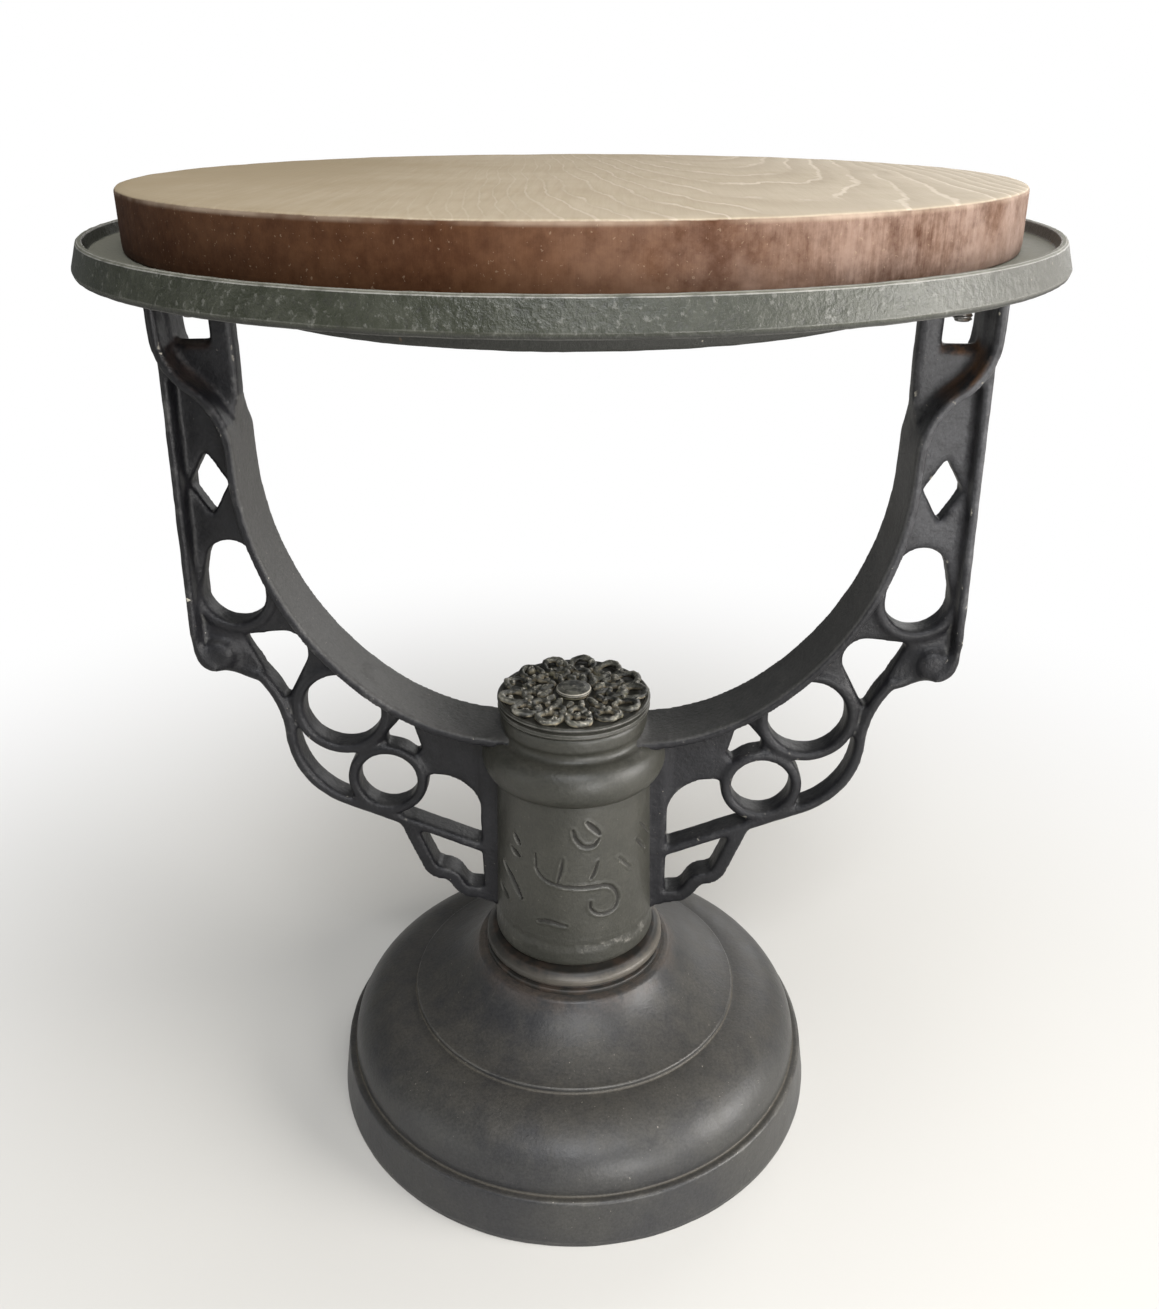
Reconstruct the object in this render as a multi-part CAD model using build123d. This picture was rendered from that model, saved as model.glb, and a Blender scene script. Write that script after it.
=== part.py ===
from build123d import *
import math
import os

# Swivel stool of cast iron. A bell base holds an upright spindle, a hub with two pierced scroll arms
# turns on it, and the arms carry a round pan with a wooden board.
# Millimetres. Z is up from the floor, the spindle's axis is the Z axis, the arms lie along X.

# Clearances
RUNNING_FIT = 0.05          # radial, spindle in hub
SEAT_FIT = 0.05             # radial, fixed pieces on their pins
END_PLAY = 0.3              # axial, hub under its retaining washer and cap
BOLT_CLEARANCE = 0.3        # radial, bolts in cast holes
OVERCUT = 1.0               # cutting tools run past the faces

# Base casting
BASE_RADIUS = 126.0         # skirt at the floor
SKIRT_TOP_RADIUS = 122.8
SKIRT_HEIGHT = 25.7
BULGE_RADIUS = 119.0
LIP_RADIUS = 84.5           # rim of the coved top
LIP_FALL = 23.5             # from the top land down to that rim
LIP_DROP = 3.0
COVE_INSET = 0.38           # middle of the cove, as shares of its width and its fall
COVE_SAG = 0.58
LAND_RADIUS = 50.0
BASE_HEIGHT = 81.0
BASE_WALL = 6.5
BOSS_RADIUS = 24.0
BOSS_BOTTOM = 28.0
EDGE_ROUND = 2.0

# Spindle and its fastenings
SPINDLE_RADIUS = 15.0
STUD_RADIUS = 11.0
STUD_STICKOUT = 4.0
TOP_STUD_RADIUS = 8.0
SPINDLE_WASHER_RADIUS = 21.0
SPINDLE_WASHER_THICKNESS = 3.0
SPINDLE_NUT_FLATS = 34.0
SPINDLE_NUT_HEIGHT = 12.0
RETAINING_WASHER_RADIUS = 21.0
RETAINING_WASHER_THICKNESS = 2.5
RETAINING_NUT_FLATS = 24.0
RETAINING_NUT_HEIGHT = 6.0
NUT_BEVEL = 0.8
THRUST_RING_RADIUS = 46.3
THRUST_RING_HEIGHT = 11.0
THRUST_WASHER_RADIUS = 37.0
THRUST_WASHER_THICKNESS = 2.5

# Hub of the yoke
HUB_HEIGHT = 126.5
HUB_FOOT_RADIUS = 40.8
HUB_BAND_HEIGHT = 12.0
HUB_BAND_RELIEF = 0.8
HUB_TOP_RADIUS = 37.8
COLLAR_RADIUS = 45.0
COLLAR_HEIGHT = 21.0
COLLAR_BELLY = 10.0         # widest place above the collar's foot
NECK_RADIUS = 34.2
NECK_HEIGHT = 13.0
RECESS_RADIUS = 24.5
RECESS_DEPTH = 13.5
CORE_RADIUS = 24.0          # relief between the hub's two bored lands
LAND_LENGTH = 30.0

# Cap, rosette and screw
CAP_RADIUS = 36.8
CAP_THICKNESS = 5.4
CAP_BEVEL = 1.2
CAP_BOSS_RADIUS = 7.0
TOP_STUD_GAP = 2.0          # spindle end below the hub's top
ROSETTE_THICKNESS = 1.8
ROSETTE_RADIUS = 35.0
LOOP_COUNT = 12
LOOP_RADIUS = 7.4
LOOP_HOLE_RADIUS = 4.0
SCREW_HEAD_RADIUS = 8.0
SCREW_HEAD_HEIGHT = 4.0
SCREW_RADIUS = 2.6
SCREW_DEPTH = 12.0

# Yoke arms
FLANGE_DEPTH = 34.0         # broad edge of the arms, across Y
FLANGE_THICKNESS = 4.0
WEB_THICKNESS = 9.0
BAR_WIDTH = 4.8             # scroll bars, in the arms' plane
BAR_DEPTH = 13.0            # scroll bars, across Y
BAR_CHAMFER = 1.2
RIB_WIDTH = 3.4             # outer rib, thin and deep
RIB_DEPTH = 27.0
ARM_WIDTH = 33.0            # from the U's straight side to the outer edge
U_CENTRE_OFFSET = 7.0
U_FOOT_ANGLE = 55.0         # below the horizontal, where the U's tighter foot begins
U_FOOT_RADIUS = 100.0
U_BOTTOM_DROP = 11.7        # lowest point of the U below the hub's top
ARM_STRAIGHT = 9.2
SWEEP_INNER_RADIUS = 34.0   # the broad edge sweeps from the inner to the outer side
SWEEP_OUTER_RADIUS = 26.0
SWEEP_TURN = 52.0
LIP_INSET = 4.0             # the bracket's outer edge inside the arm's
COLUMN_REACH = 2.0          # the bracket's inner edge past the U's straight side
BRACKET_RISE = 31.9
RIB_LEAN = 5.0              # head of the outer rib inside its foot
RIB_HEAD_DROP = 9.0         # that head below the end of the sweep
TAIL_RISE = 30.0            # the broad edge's back half fades into the column over this height
PAD_THICKNESS = 8.0
WINDOW_WIDTH = 16.5
WINDOW_HEIGHT = 28.5
SILL_FALL = 3.6             # the window's sill slopes off to both faces
WINDOW_SIDE = 15.5          # its centre, and the bolt's, from the U's straight side
DIAMOND_WIDTH = 18.0
DIAMOND_HEIGHT = 30.0
DIAMOND_DROP = 9.0          # its centre below the U's centre height
OVAL_LOWER_RADIUS = 15.0
OVAL_UPPER_RADIUS = 11.5
OVAL_LENGTH = 14.0
OVAL_DROP = 61.0            # centre of its lower end below the U's centre height
OVAL_SIDE = 21.1            # that centre from the arm's outer edge
OVAL_BAR_START = 170.0
OVAL_BAR_SWEEP = 200.0
LUG_DROP = 98.5
LUG_RADIUS = 9.0
LUG_BOSS_DEPTH = 20.0
LUG_BOSS_DROP = 2.5
RING_ANGLE = 49.3           # large ring, below the horizontal at the U's centre
RING_BITE = 0.1             # the large ring's eye into the broad edge
LARGE_RING_EYE = 19.0
SMALL_RING_EYE = 14.8
SMALL_RING_ANGLE = 243.4    # from the large ring's centre to the small ring's
RING_WALL = 9.8
GUSSET_FOOT = 45.0          # web beside the large ring, angle as the ring's
SPANDREL_TIP = (-18.0, 17.0)  # its opening's corners, from the small ring's centre
SPANDREL_CROWN = (-12.3, 39.2)
SPANDREL_SIDE = (-0.8, 25.7)
SPANDREL_ROUND = 4.0
STRUT_RADIUS = 39.4
STRUT_ANGLE = 228.4
STRUT_OVERLAP = 2.0
STRUT_END_ANGLE = 68.0
STRUT_TOP_RADIUS = 54.0
STRUT_TOP_TURN = 37.0
LEAF_RADIUS = 22.5
LEAF_RISE = 3.0             # its top above the small ring's centre
LEAF_BITE = 0.6             # its side into the strap
LEAF_TIP = (-1.0, -21.6)    # upper opening's corners, from the oval's centre
LEAF_FOLD = (-40.1, -17.1)
LEAF_FOOT = (-17.6, -58.1)
LEAF_HEEL = (-9.0, -42.2)   # web's corner under the upper opening
LEAF_TIP_ROUND = 1.5
LEAF_FOLD_ROUND = 11.0
STRAP_WIDTH = 5.6
STRAP_DEPTH = 13.0
CURL_SHARE = 0.385          # along the strut's straight run, where the lower curl leaves it
CURL_HEADING = 249.0        # its first run, from the X axis
CURL_RUN = 28.5
CURL_WIDTH = 6.6
KNEE_RADIUS = 7.0
KNEE_TURN = 65.0
OGEE_RADIUS = 9.0           # double bend from the knee to the hub
OGEE_TURN = 56.0
OGEE_RUN = 3.5

# Seat pan
BOARD_RADIUS = 171.0
BOARD_GAP = 12.0
RIM_THICKNESS = 3.2
RIM_HEIGHT = 4.5
RIM_FLARE = 2.8
RIM_SKIRT = 0.8
FLANGE_INSET = 11.4         # arm's outer edge inside the pan's outer edge
PAN_THICKNESS = 6.0
DISH_CLEARANCE = 7.5
DISH_DEPTH = 14.8
DISH_DRAFT = 3.0

# Seat board and fastenings
BOARD_THICKNESS = 21.5
BOARD_ROUND = 4.0
BOLT_RADIUS = 4.0
BOLT_HEAD_RADIUS = 8.0
BOLT_HEAD_HEIGHT = 3.6
BOLT_STICKOUT = 11.0
NUT_FLATS = 12.7
NUT_HEIGHT = 7.0
PAN_WASHER_RADIUS = 7.0
PAN_WASHER_THICKNESS = 1.6
BOARD_SCREW_COUNT = 4
BOARD_SCREW_RADIUS = 2.4
BOARD_SCREW_HEAD_RADIUS = 4.6
BOARD_SCREW_HEAD_HEIGHT = 3.2
BOARD_SCREW_BITE = 13.0

# Heights that follow, from the floor up
RING_TOP = BASE_HEIGHT + THRUST_RING_HEIGHT
HUB_BOTTOM = RING_TOP + THRUST_WASHER_THICKNESS
HUB_TOP = HUB_BOTTOM + HUB_HEIGHT
RECESS_FLOOR = HUB_TOP - RECESS_DEPTH
SPINDLE_SHOULDER = RECESS_FLOOR + END_PLAY
SPINDLE_END = HUB_TOP - TOP_STUD_GAP
CAP_BOTTOM = HUB_TOP + END_PLAY
CAP_TOP = CAP_BOTTOM + CAP_THICKNESS
ROSETTE_TOP = CAP_TOP + ROSETTE_THICKNESS

# Pan and arm radii that follow, from the board out and in
PAN_RADIUS = BOARD_RADIUS + BOARD_GAP + RIM_THICKNESS + RIM_FLARE
ARM_OUTER = PAN_RADIUS - FLANGE_INSET
U_HALF_WIDTH = ARM_OUTER - ARM_WIDTH
U_RADIUS = U_HALF_WIDTH - U_CENTRE_OFFSET
U_FOOT_SIN = math.sin(math.radians(U_FOOT_ANGLE))
U_FOOT_COS = math.cos(math.radians(U_FOOT_ANGLE))
U_FLOOR = HUB_TOP - U_BOTTOM_DROP
U_CENTRE_HEIGHT = U_FLOOR + U_FOOT_RADIUS * (1 - U_FOOT_SIN) + U_RADIUS * U_FOOT_SIN
U_CENTRE = (U_CENTRE_OFFSET, U_CENTRE_HEIGHT)
FOOT_CENTRE = (U_CENTRE_OFFSET + (U_RADIUS - U_FOOT_RADIUS) * U_FOOT_COS, U_FLOOR + U_FOOT_RADIUS)
FLANGE_RADIUS = U_RADIUS + FLANGE_THICKNESS
DISH_RADIUS = U_HALF_WIDTH - DISH_CLEARANCE

# The broad edge's sweep, and the heights above it
SWEEP_START = U_CENTRE_HEIGHT + ARM_STRAIGHT
SWEEP_COS = math.cos(math.radians(SWEEP_TURN))
SWEEP_SIN = math.sin(math.radians(SWEEP_TURN))
BRACKET_OUTER = ARM_OUTER - LIP_INSET
BRACKET_INNER = U_HALF_WIDTH - COLUMN_REACH
SWEEP_SPAN = BRACKET_OUTER - FLANGE_THICKNESS - U_HALF_WIDTH
SWEEP_RUN = (SWEEP_SPAN - (SWEEP_INNER_RADIUS + SWEEP_OUTER_RADIUS) * (1 - SWEEP_COS)) / SWEEP_SIN
SWEEP_END = SWEEP_START + (SWEEP_INNER_RADIUS + SWEEP_OUTER_RADIUS) * SWEEP_SIN + SWEEP_RUN * SWEEP_COS
YOKE_TOP = SWEEP_END + BRACKET_RISE
PAN_FLOOR = YOKE_TOP + PAN_THICKNESS
SEAT_TOP = PAN_FLOOR + BOARD_THICKNESS
PAD_BOTTOM = YOKE_TOP - PAD_THICKNESS
WINDOW_X = U_HALF_WIDTH + WINDOW_SIDE
BOARD_SCREW_CIRCLE = (DISH_RADIUS + BOARD_RADIUS) / 2 + BOARD_SCREW_HEAD_RADIUS


def polar(centre, radius, degrees):
    """Point in the arms' plane at an angle from the X axis."""
    angle = math.radians(degrees)
    return (centre[0] + radius * math.cos(angle), centre[1] + radius * math.sin(angle))


def lathe(edges):
    """Solid of revolution about Z from a closed outline of (radius, height) edges."""
    return revolve(Plane.XZ * make_face(edges), Axis.Z)


def ring(inner, outer, low, high):
    """Plain washer-like ring between two heights."""
    return lathe(Polyline((inner, low), (outer, low), (outer, high), (inner, high), close=True))


def plate(sketch, depth):
    """Sketch in the arms' plane, thickened evenly to both sides."""
    return extrude(Plane.XZ * sketch, amount=depth / 2, both=True)


def dome_line(edge_radius, edge_height, top_height):
    """Arc of a sphere's section from an edge to the top point on the axis."""
    rise = top_height - edge_height
    sphere = (edge_radius**2 + rise**2) / (2 * rise)
    half_turn = math.asin(edge_radius / abs(sphere)) / 2
    middle = (abs(sphere) * math.sin(half_turn), top_height - sphere * (1 - math.cos(half_turn)))
    return ThreePointArc((edge_radius, edge_height), middle, (0, top_height))


def square_nut(flats, height, bore, bottom):
    """Square nut on the Z axis."""
    body = Pos(0, 0, bottom) * extrude(Rectangle(flats, flats) - Circle(bore), amount=height)
    return chamfer(body.faces().sort_by(Axis.Z)[0].outer_wire().edges(), NUT_BEVEL)


def bar_section(width=BAR_WIDTH, depth=BAR_DEPTH):
    """Chamfered section of a scroll bar or rib, width along X and depth along Y."""
    section = Rectangle(width, depth)
    return chamfer(section.vertices(), BAR_CHAMFER)


def curved_bar(centre, radius, start, sweep, section=bar_section()):
    """Scroll bar bent round a centre in the arms' plane."""
    point = polar(centre, radius, start)
    outward = (math.cos(math.radians(start)), 0, math.sin(math.radians(start)))
    along = (-outward[2], 0, outward[0])
    section = Plane((point[0], 0, point[1]), x_dir=outward, z_dir=along) * section
    pivot = Axis((centre[0], 0, centre[1]), (0, -1, 0))
    return revolve(section, pivot, sweep)


def straight_bar(start, end, section=bar_section()):
    """Straight scroll bar between two points of the arms' plane."""
    run = Vector(end[0] - start[0], 0, end[1] - start[1])
    along = run.normalized()
    side = (along.Z, 0, -along.X)
    section = Plane((start[0], 0, start[1]), x_dir=side, z_dir=along) * section
    return extrude(section, amount=run.length)


def make_base():
    """Bell-shaped foot: skirt, step, bulge, lip, coved top and an inner boss for the spindle."""
    lip = BASE_HEIGHT - LIP_FALL
    shoulder = SKIRT_HEIGHT + EDGE_ROUND / 2
    bulge_rise = lip - LIP_DROP - shoulder
    bulge_reach = BULGE_RADIUS - LIP_RADIUS
    cove_mid = (LAND_RADIUS + COVE_INSET * (LIP_RADIUS - LAND_RADIUS), BASE_HEIGHT - COVE_SAG * LIP_FALL)
    roof = BASE_HEIGHT - 2 * BASE_WALL
    under_lip = (LIP_RADIUS, lip - LIP_DROP - BASE_WALL)
    under_bulge = BULGE_RADIUS - BASE_WALL
    cove_foot = (LAND_RADIUS - BASE_WALL, roof)
    under_cove = (cove_mid[0] - BASE_WALL / 2, cove_mid[1] - BASE_WALL)
    bore = STUD_RADIUS + SEAT_FIT
    bulge = Pos(LIP_RADIUS, shoulder) * EllipticalCenterArc((0, 0), bulge_reach, bulge_rise, arc_size=90)
    hollow = Pos(LIP_RADIUS, shoulder) * EllipticalCenterArc(
        (0, 0), bulge_reach - BASE_WALL, bulge_rise - BASE_WALL, arc_size=90
    )
    outline = [
        Polyline(
            (BASE_RADIUS - BASE_WALL, 0),
            (BASE_RADIUS - EDGE_ROUND / 2, 0),
            (BASE_RADIUS, EDGE_ROUND / 2),
            (SKIRT_TOP_RADIUS, SKIRT_HEIGHT - EDGE_ROUND / 2),
            (SKIRT_TOP_RADIUS - EDGE_ROUND / 2, SKIRT_HEIGHT),
            (BULGE_RADIUS, SKIRT_HEIGHT),
            (BULGE_RADIUS, shoulder),
        ),
        bulge,
        Line((LIP_RADIUS, lip - LIP_DROP), (LIP_RADIUS, lip)),
        ThreePointArc((LIP_RADIUS, lip), cove_mid, (LAND_RADIUS, BASE_HEIGHT)),
        Polyline(
            (LAND_RADIUS, BASE_HEIGHT),
            (bore, BASE_HEIGHT),
            (bore, BOSS_BOTTOM),
            (BOSS_RADIUS, BOSS_BOTTOM),
            (BOSS_RADIUS, roof),
            cove_foot,
        ),
        ThreePointArc(cove_foot, under_cove, under_lip),
        hollow,
        Line((under_bulge, shoulder), (BASE_RADIUS - BASE_WALL, 0)),
    ]
    return lathe(outline)


def make_spindle():
    """Stepped steel post: lower stud, journal, upper stud with a tapped end."""
    low = BOSS_BOTTOM - SPINDLE_WASHER_THICKNESS - SPINDLE_NUT_HEIGHT - STUD_STICKOUT
    body = lathe(
        Polyline(
            (0, low),
            (STUD_RADIUS, low),
            (STUD_RADIUS, BASE_HEIGHT),
            (SPINDLE_RADIUS, BASE_HEIGHT),
            (SPINDLE_RADIUS, SPINDLE_SHOULDER),
            (TOP_STUD_RADIUS, SPINDLE_SHOULDER),
            (TOP_STUD_RADIUS, SPINDLE_END),
            (0, SPINDLE_END),
            close=True,
        )
    )
    tapped = Pos(0, 0, SPINDLE_END - SCREW_DEPTH - END_PLAY) * extrude(
        Circle(SCREW_RADIUS + SEAT_FIT), amount=SCREW_DEPTH + 2 * END_PLAY
    )
    return body - tapped


def make_spindle_washer():
    """Washer under the base's boss."""
    low = BOSS_BOTTOM - SPINDLE_WASHER_THICKNESS
    return ring(STUD_RADIUS + SEAT_FIT, SPINDLE_WASHER_RADIUS, low, BOSS_BOTTOM)


def make_spindle_nut():
    """Square nut that clamps the spindle to the base."""
    low = BOSS_BOTTOM - SPINDLE_WASHER_THICKNESS - SPINDLE_NUT_HEIGHT
    return square_nut(SPINDLE_NUT_FLATS, SPINDLE_NUT_HEIGHT, STUD_RADIUS + SEAT_FIT, low)


def make_thrust_ring():
    """Bright turned ring with a half-round bead, on the base's top land."""
    bead = THRUST_RING_HEIGHT / 2
    inner = SPINDLE_RADIUS + SEAT_FIT
    edge = THRUST_RING_RADIUS - bead
    outline = [
        Polyline((edge, RING_TOP), (inner, RING_TOP), (inner, BASE_HEIGHT), (edge, BASE_HEIGHT)),
        ThreePointArc((edge, BASE_HEIGHT), (THRUST_RING_RADIUS, BASE_HEIGHT + bead), (edge, RING_TOP)),
    ]
    return lathe(outline)


def make_thrust_washer():
    """Thin washer that carries the turning hub."""
    return ring(SPINDLE_RADIUS + SEAT_FIT, THRUST_WASHER_RADIUS, RING_TOP, HUB_BOTTOM)


def make_retaining_washer():
    """Washer on the spindle's shoulder, over the hub's recess floor."""
    high = SPINDLE_SHOULDER + RETAINING_WASHER_THICKNESS
    return ring(TOP_STUD_RADIUS + SEAT_FIT, RETAINING_WASHER_RADIUS, SPINDLE_SHOULDER, high)


def make_retaining_nut():
    """Square nut on the spindle's upper stud."""
    low = SPINDLE_SHOULDER + RETAINING_WASHER_THICKNESS
    return square_nut(RETAINING_NUT_FLATS, RETAINING_NUT_HEIGHT, TOP_STUD_RADIUS + SEAT_FIT, low)


def make_cap_plate():
    """Round cover plate with a low boss that stands on the spindle's end."""
    bore = SCREW_RADIUS + SEAT_FIT
    return lathe(
        Polyline(
            (bore, SPINDLE_END),
            (CAP_BOSS_RADIUS, SPINDLE_END),
            (CAP_BOSS_RADIUS, CAP_BOTTOM),
            (CAP_RADIUS - CAP_BEVEL, CAP_BOTTOM),
            (CAP_RADIUS, CAP_BOTTOM + CAP_BEVEL),
            (CAP_RADIUS, CAP_TOP - CAP_BEVEL),
            (CAP_RADIUS - CAP_BEVEL, CAP_TOP),
            (bore, CAP_TOP),
            close=True,
        )
    )


def make_rosette():
    """Pierced ornament disc with a scalloped edge of loops."""
    loop_circle = ROSETTE_RADIUS - LOOP_RADIUS
    disc = Circle(loop_circle)
    for turn in range(LOOP_COUNT):
        disc += Rot(0, 0, turn * 360 / LOOP_COUNT) * Pos(loop_circle, 0) * Circle(LOOP_RADIUS)
    for turn in range(LOOP_COUNT):
        disc -= Rot(0, 0, turn * 360 / LOOP_COUNT) * Pos(loop_circle, 0) * Circle(LOOP_HOLE_RADIUS)
    disc -= Circle(SCREW_RADIUS + SEAT_FIT)
    return Pos(0, 0, CAP_TOP) * extrude(disc, amount=ROSETTE_THICKNESS)


def make_cap_screw():
    """Button-headed screw through rosette and cap plate into the spindle."""
    tip = SPINDLE_END - SCREW_DEPTH
    edge = ROSETTE_TOP + SCREW_HEAD_HEIGHT / 4
    top = ROSETTE_TOP + SCREW_HEAD_HEIGHT
    outline = [
        Polyline(
            (0, top),
            (0, tip),
            (SCREW_RADIUS, tip),
            (SCREW_RADIUS, ROSETTE_TOP),
            (SCREW_HEAD_RADIUS, ROSETTE_TOP),
            (SCREW_HEAD_RADIUS, edge),
        ),
        dome_line(SCREW_HEAD_RADIUS, edge, top),
    ]
    return lathe(outline)


def broad_edge():
    """Broad edge of an arm: up the U, across in a sweep to the outer side, and up to the pad."""

    def side_line(offset):
        foot_arc = CenterArc(FOOT_CENTRE, U_FOOT_RADIUS + offset, -90, 90 - U_FOOT_ANGLE)
        side_arc = CenterArc(U_CENTRE, U_RADIUS + offset, -U_FOOT_ANGLE, U_FOOT_ANGLE)
        riser = Line(side_arc @ 1, (U_HALF_WIDTH + offset, SWEEP_START))
        turn_out = JernArc(riser @ 1, (0, 1), SWEEP_INNER_RADIUS - offset, -SWEEP_TURN)
        run = Line(turn_out @ 1, turn_out @ 1 + (turn_out % 1) * SWEEP_RUN)
        turn_up = JernArc(run @ 1, run % 1, SWEEP_OUTER_RADIUS + offset, SWEEP_TURN)
        post = Line(turn_up @ 1, (BRACKET_OUTER - FLANGE_THICKNESS + offset, YOKE_TOP))
        return [foot_arc, side_arc, riser, turn_out, run, turn_up, post]

    upper = side_line(0)
    lower = side_line(FLANGE_THICKNESS)
    foot = Line(lower[0] @ 0, upper[0] @ 0)
    head = Line(upper[-1] @ 1, lower[-1] @ 1)
    return plate(make_face(upper + [head] + lower + [foot]), FLANGE_DEPTH)


def large_ring_centre():
    """Centre of the ring that hangs under the broad edge."""
    reach = FLANGE_RADIUS + LARGE_RING_EYE - RING_BITE
    return polar(U_CENTRE, reach, -RING_ANGLE)


def small_ring_centre():
    """Centre of the lower ring, which shares a wall with the large one."""
    reach = LARGE_RING_EYE + SMALL_RING_EYE + RING_WALL
    return polar(large_ring_centre(), reach, SMALL_RING_ANGLE)


def scroll_bars():
    """Rings, S-shaped strut, outer rib and lower curl of an arm, as one chain of bars."""
    half = BAR_WIDTH / 2
    large = large_ring_centre()
    small = small_ring_centre()
    strut = polar(large, STRUT_RADIUS - LARGE_RING_EYE - half + STRUT_OVERLAP, STRUT_ANGLE)
    joint = polar(strut, STRUT_RADIUS, 0)
    top_centre = (joint[0] + STRUT_TOP_RADIUS, joint[1])
    strut_top = polar(top_centre, STRUT_TOP_RADIUS, 180 - STRUT_TOP_TURN)
    strut_foot = polar(strut, STRUT_RADIUS, -STRUT_END_ANGLE)
    slope = math.tan(math.radians(90 - STRUT_END_ANGLE))
    hub_end = (HUB_TOP_RADIUS, strut_foot[1] - (strut_foot[0] - HUB_TOP_RADIUS) * slope)
    curl_start = (
        strut_foot[0] + (hub_end[0] - strut_foot[0]) * CURL_SHARE,
        strut_foot[1] + (hub_end[1] - strut_foot[1]) * CURL_SHARE,
    )
    rib = bar_section(RIB_WIDTH, RIB_DEPTH)
    rib_x = ARM_OUTER - RIB_WIDTH / 2
    lug = (rib_x - LUG_RADIUS, U_CENTRE_HEIGHT - LUG_DROP + LUG_RADIUS)
    oval = (ARM_OUTER - OVAL_SIDE, U_CENTRE_HEIGHT - OVAL_DROP)
    boss = Pos(lug[0], lug[1] - LUG_BOSS_DROP) * Circle(LUG_RADIUS - RIB_WIDTH / 2)
    bars = [
        curved_bar(large, LARGE_RING_EYE + half, 0, 360),
        curved_bar(small, SMALL_RING_EYE + half, 0, 360),
        curved_bar(strut, STRUT_RADIUS, -STRUT_END_ANGLE, STRUT_END_ANGLE),
        curved_bar(top_centre, STRUT_TOP_RADIUS, 180 - STRUT_TOP_TURN, STRUT_TOP_TURN),
        straight_bar(strut_foot, hub_end),
        lower_curl(curl_start),
        straight_bar((rib_x - RIB_LEAN, SWEEP_END - RIB_HEAD_DROP), (rib_x, lug[1]), rib),
        curved_bar(lug, LUG_RADIUS, -90, 90, rib),
        plate(boss, LUG_BOSS_DEPTH),
        straight_bar((lug[0], lug[1] - LUG_RADIUS), strut_top),
        curved_bar(oval, OVAL_LOWER_RADIUS + half, OVAL_BAR_START, OVAL_BAR_SWEEP),
    ]
    chain = bars[0].fuse(*bars[1:])
    eyes = Pos(*large) * Circle(LARGE_RING_EYE) + Pos(*small) * Circle(SMALL_RING_EYE)
    return chain - plate(eyes, FLANGE_DEPTH)


def lower_curl(start):
    """Bar that falls from the strut, bends at a knee and runs to the hub in a double bend."""
    heading = math.radians(CURL_HEADING)
    fall = Line(start, (start[0] + CURL_RUN * math.cos(heading), start[1] + CURL_RUN * math.sin(heading)))
    knee = JernArc(fall @ 1, fall % 1, KNEE_RADIUS, -KNEE_TURN)
    bend_down = JernArc(knee @ 1, knee % 1, OGEE_RADIUS, OGEE_TURN)
    drop = Line(bend_down @ 1, bend_down @ 1 + (bend_down % 1) * OGEE_RUN)
    bend_in = JernArc(drop @ 1, drop % 1, OGEE_RADIUS, -OGEE_TURN)
    reach = (bend_in @ 1).X - HUB_TOP_RADIUS
    tail = Line(bend_in @ 1, bend_in @ 1 + (bend_in % 1) * reach)
    return plate(trace([fall, knee, bend_down, drop, bend_in, tail], line_width=CURL_WIDTH), BAR_DEPTH)


def shifted(centre, offset):
    """Point at an offset from a centre."""
    return (centre[0] + offset[0], centre[1] + offset[1])


def leaf_opening(oval):
    """Upper opening, between the oval, the strut and the large ring."""
    fold = shifted(oval, LEAF_FOLD)
    opening = Polygon(fold, shifted(oval, LEAF_TIP), shifted(oval, LEAF_FOOT), align=None)
    opening = fillet(opening.vertices().sort_by_distance(fold)[0], LEAF_FOLD_ROUND)
    return fillet(opening.vertices().sort_by(Axis.X)[-1], LEAF_TIP_ROUND)


def spandrel_opening(small):
    """Small opening between the broad edge and both rings."""
    crown = shifted(small, SPANDREL_CROWN)
    opening = Polygon(
        shifted(small, SPANDREL_TIP), crown, shifted(small, SPANDREL_SIDE), small, align=None
    )
    return fillet(opening.vertices().sort_by_distance(crown)[0], SPANDREL_ROUND)


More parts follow.
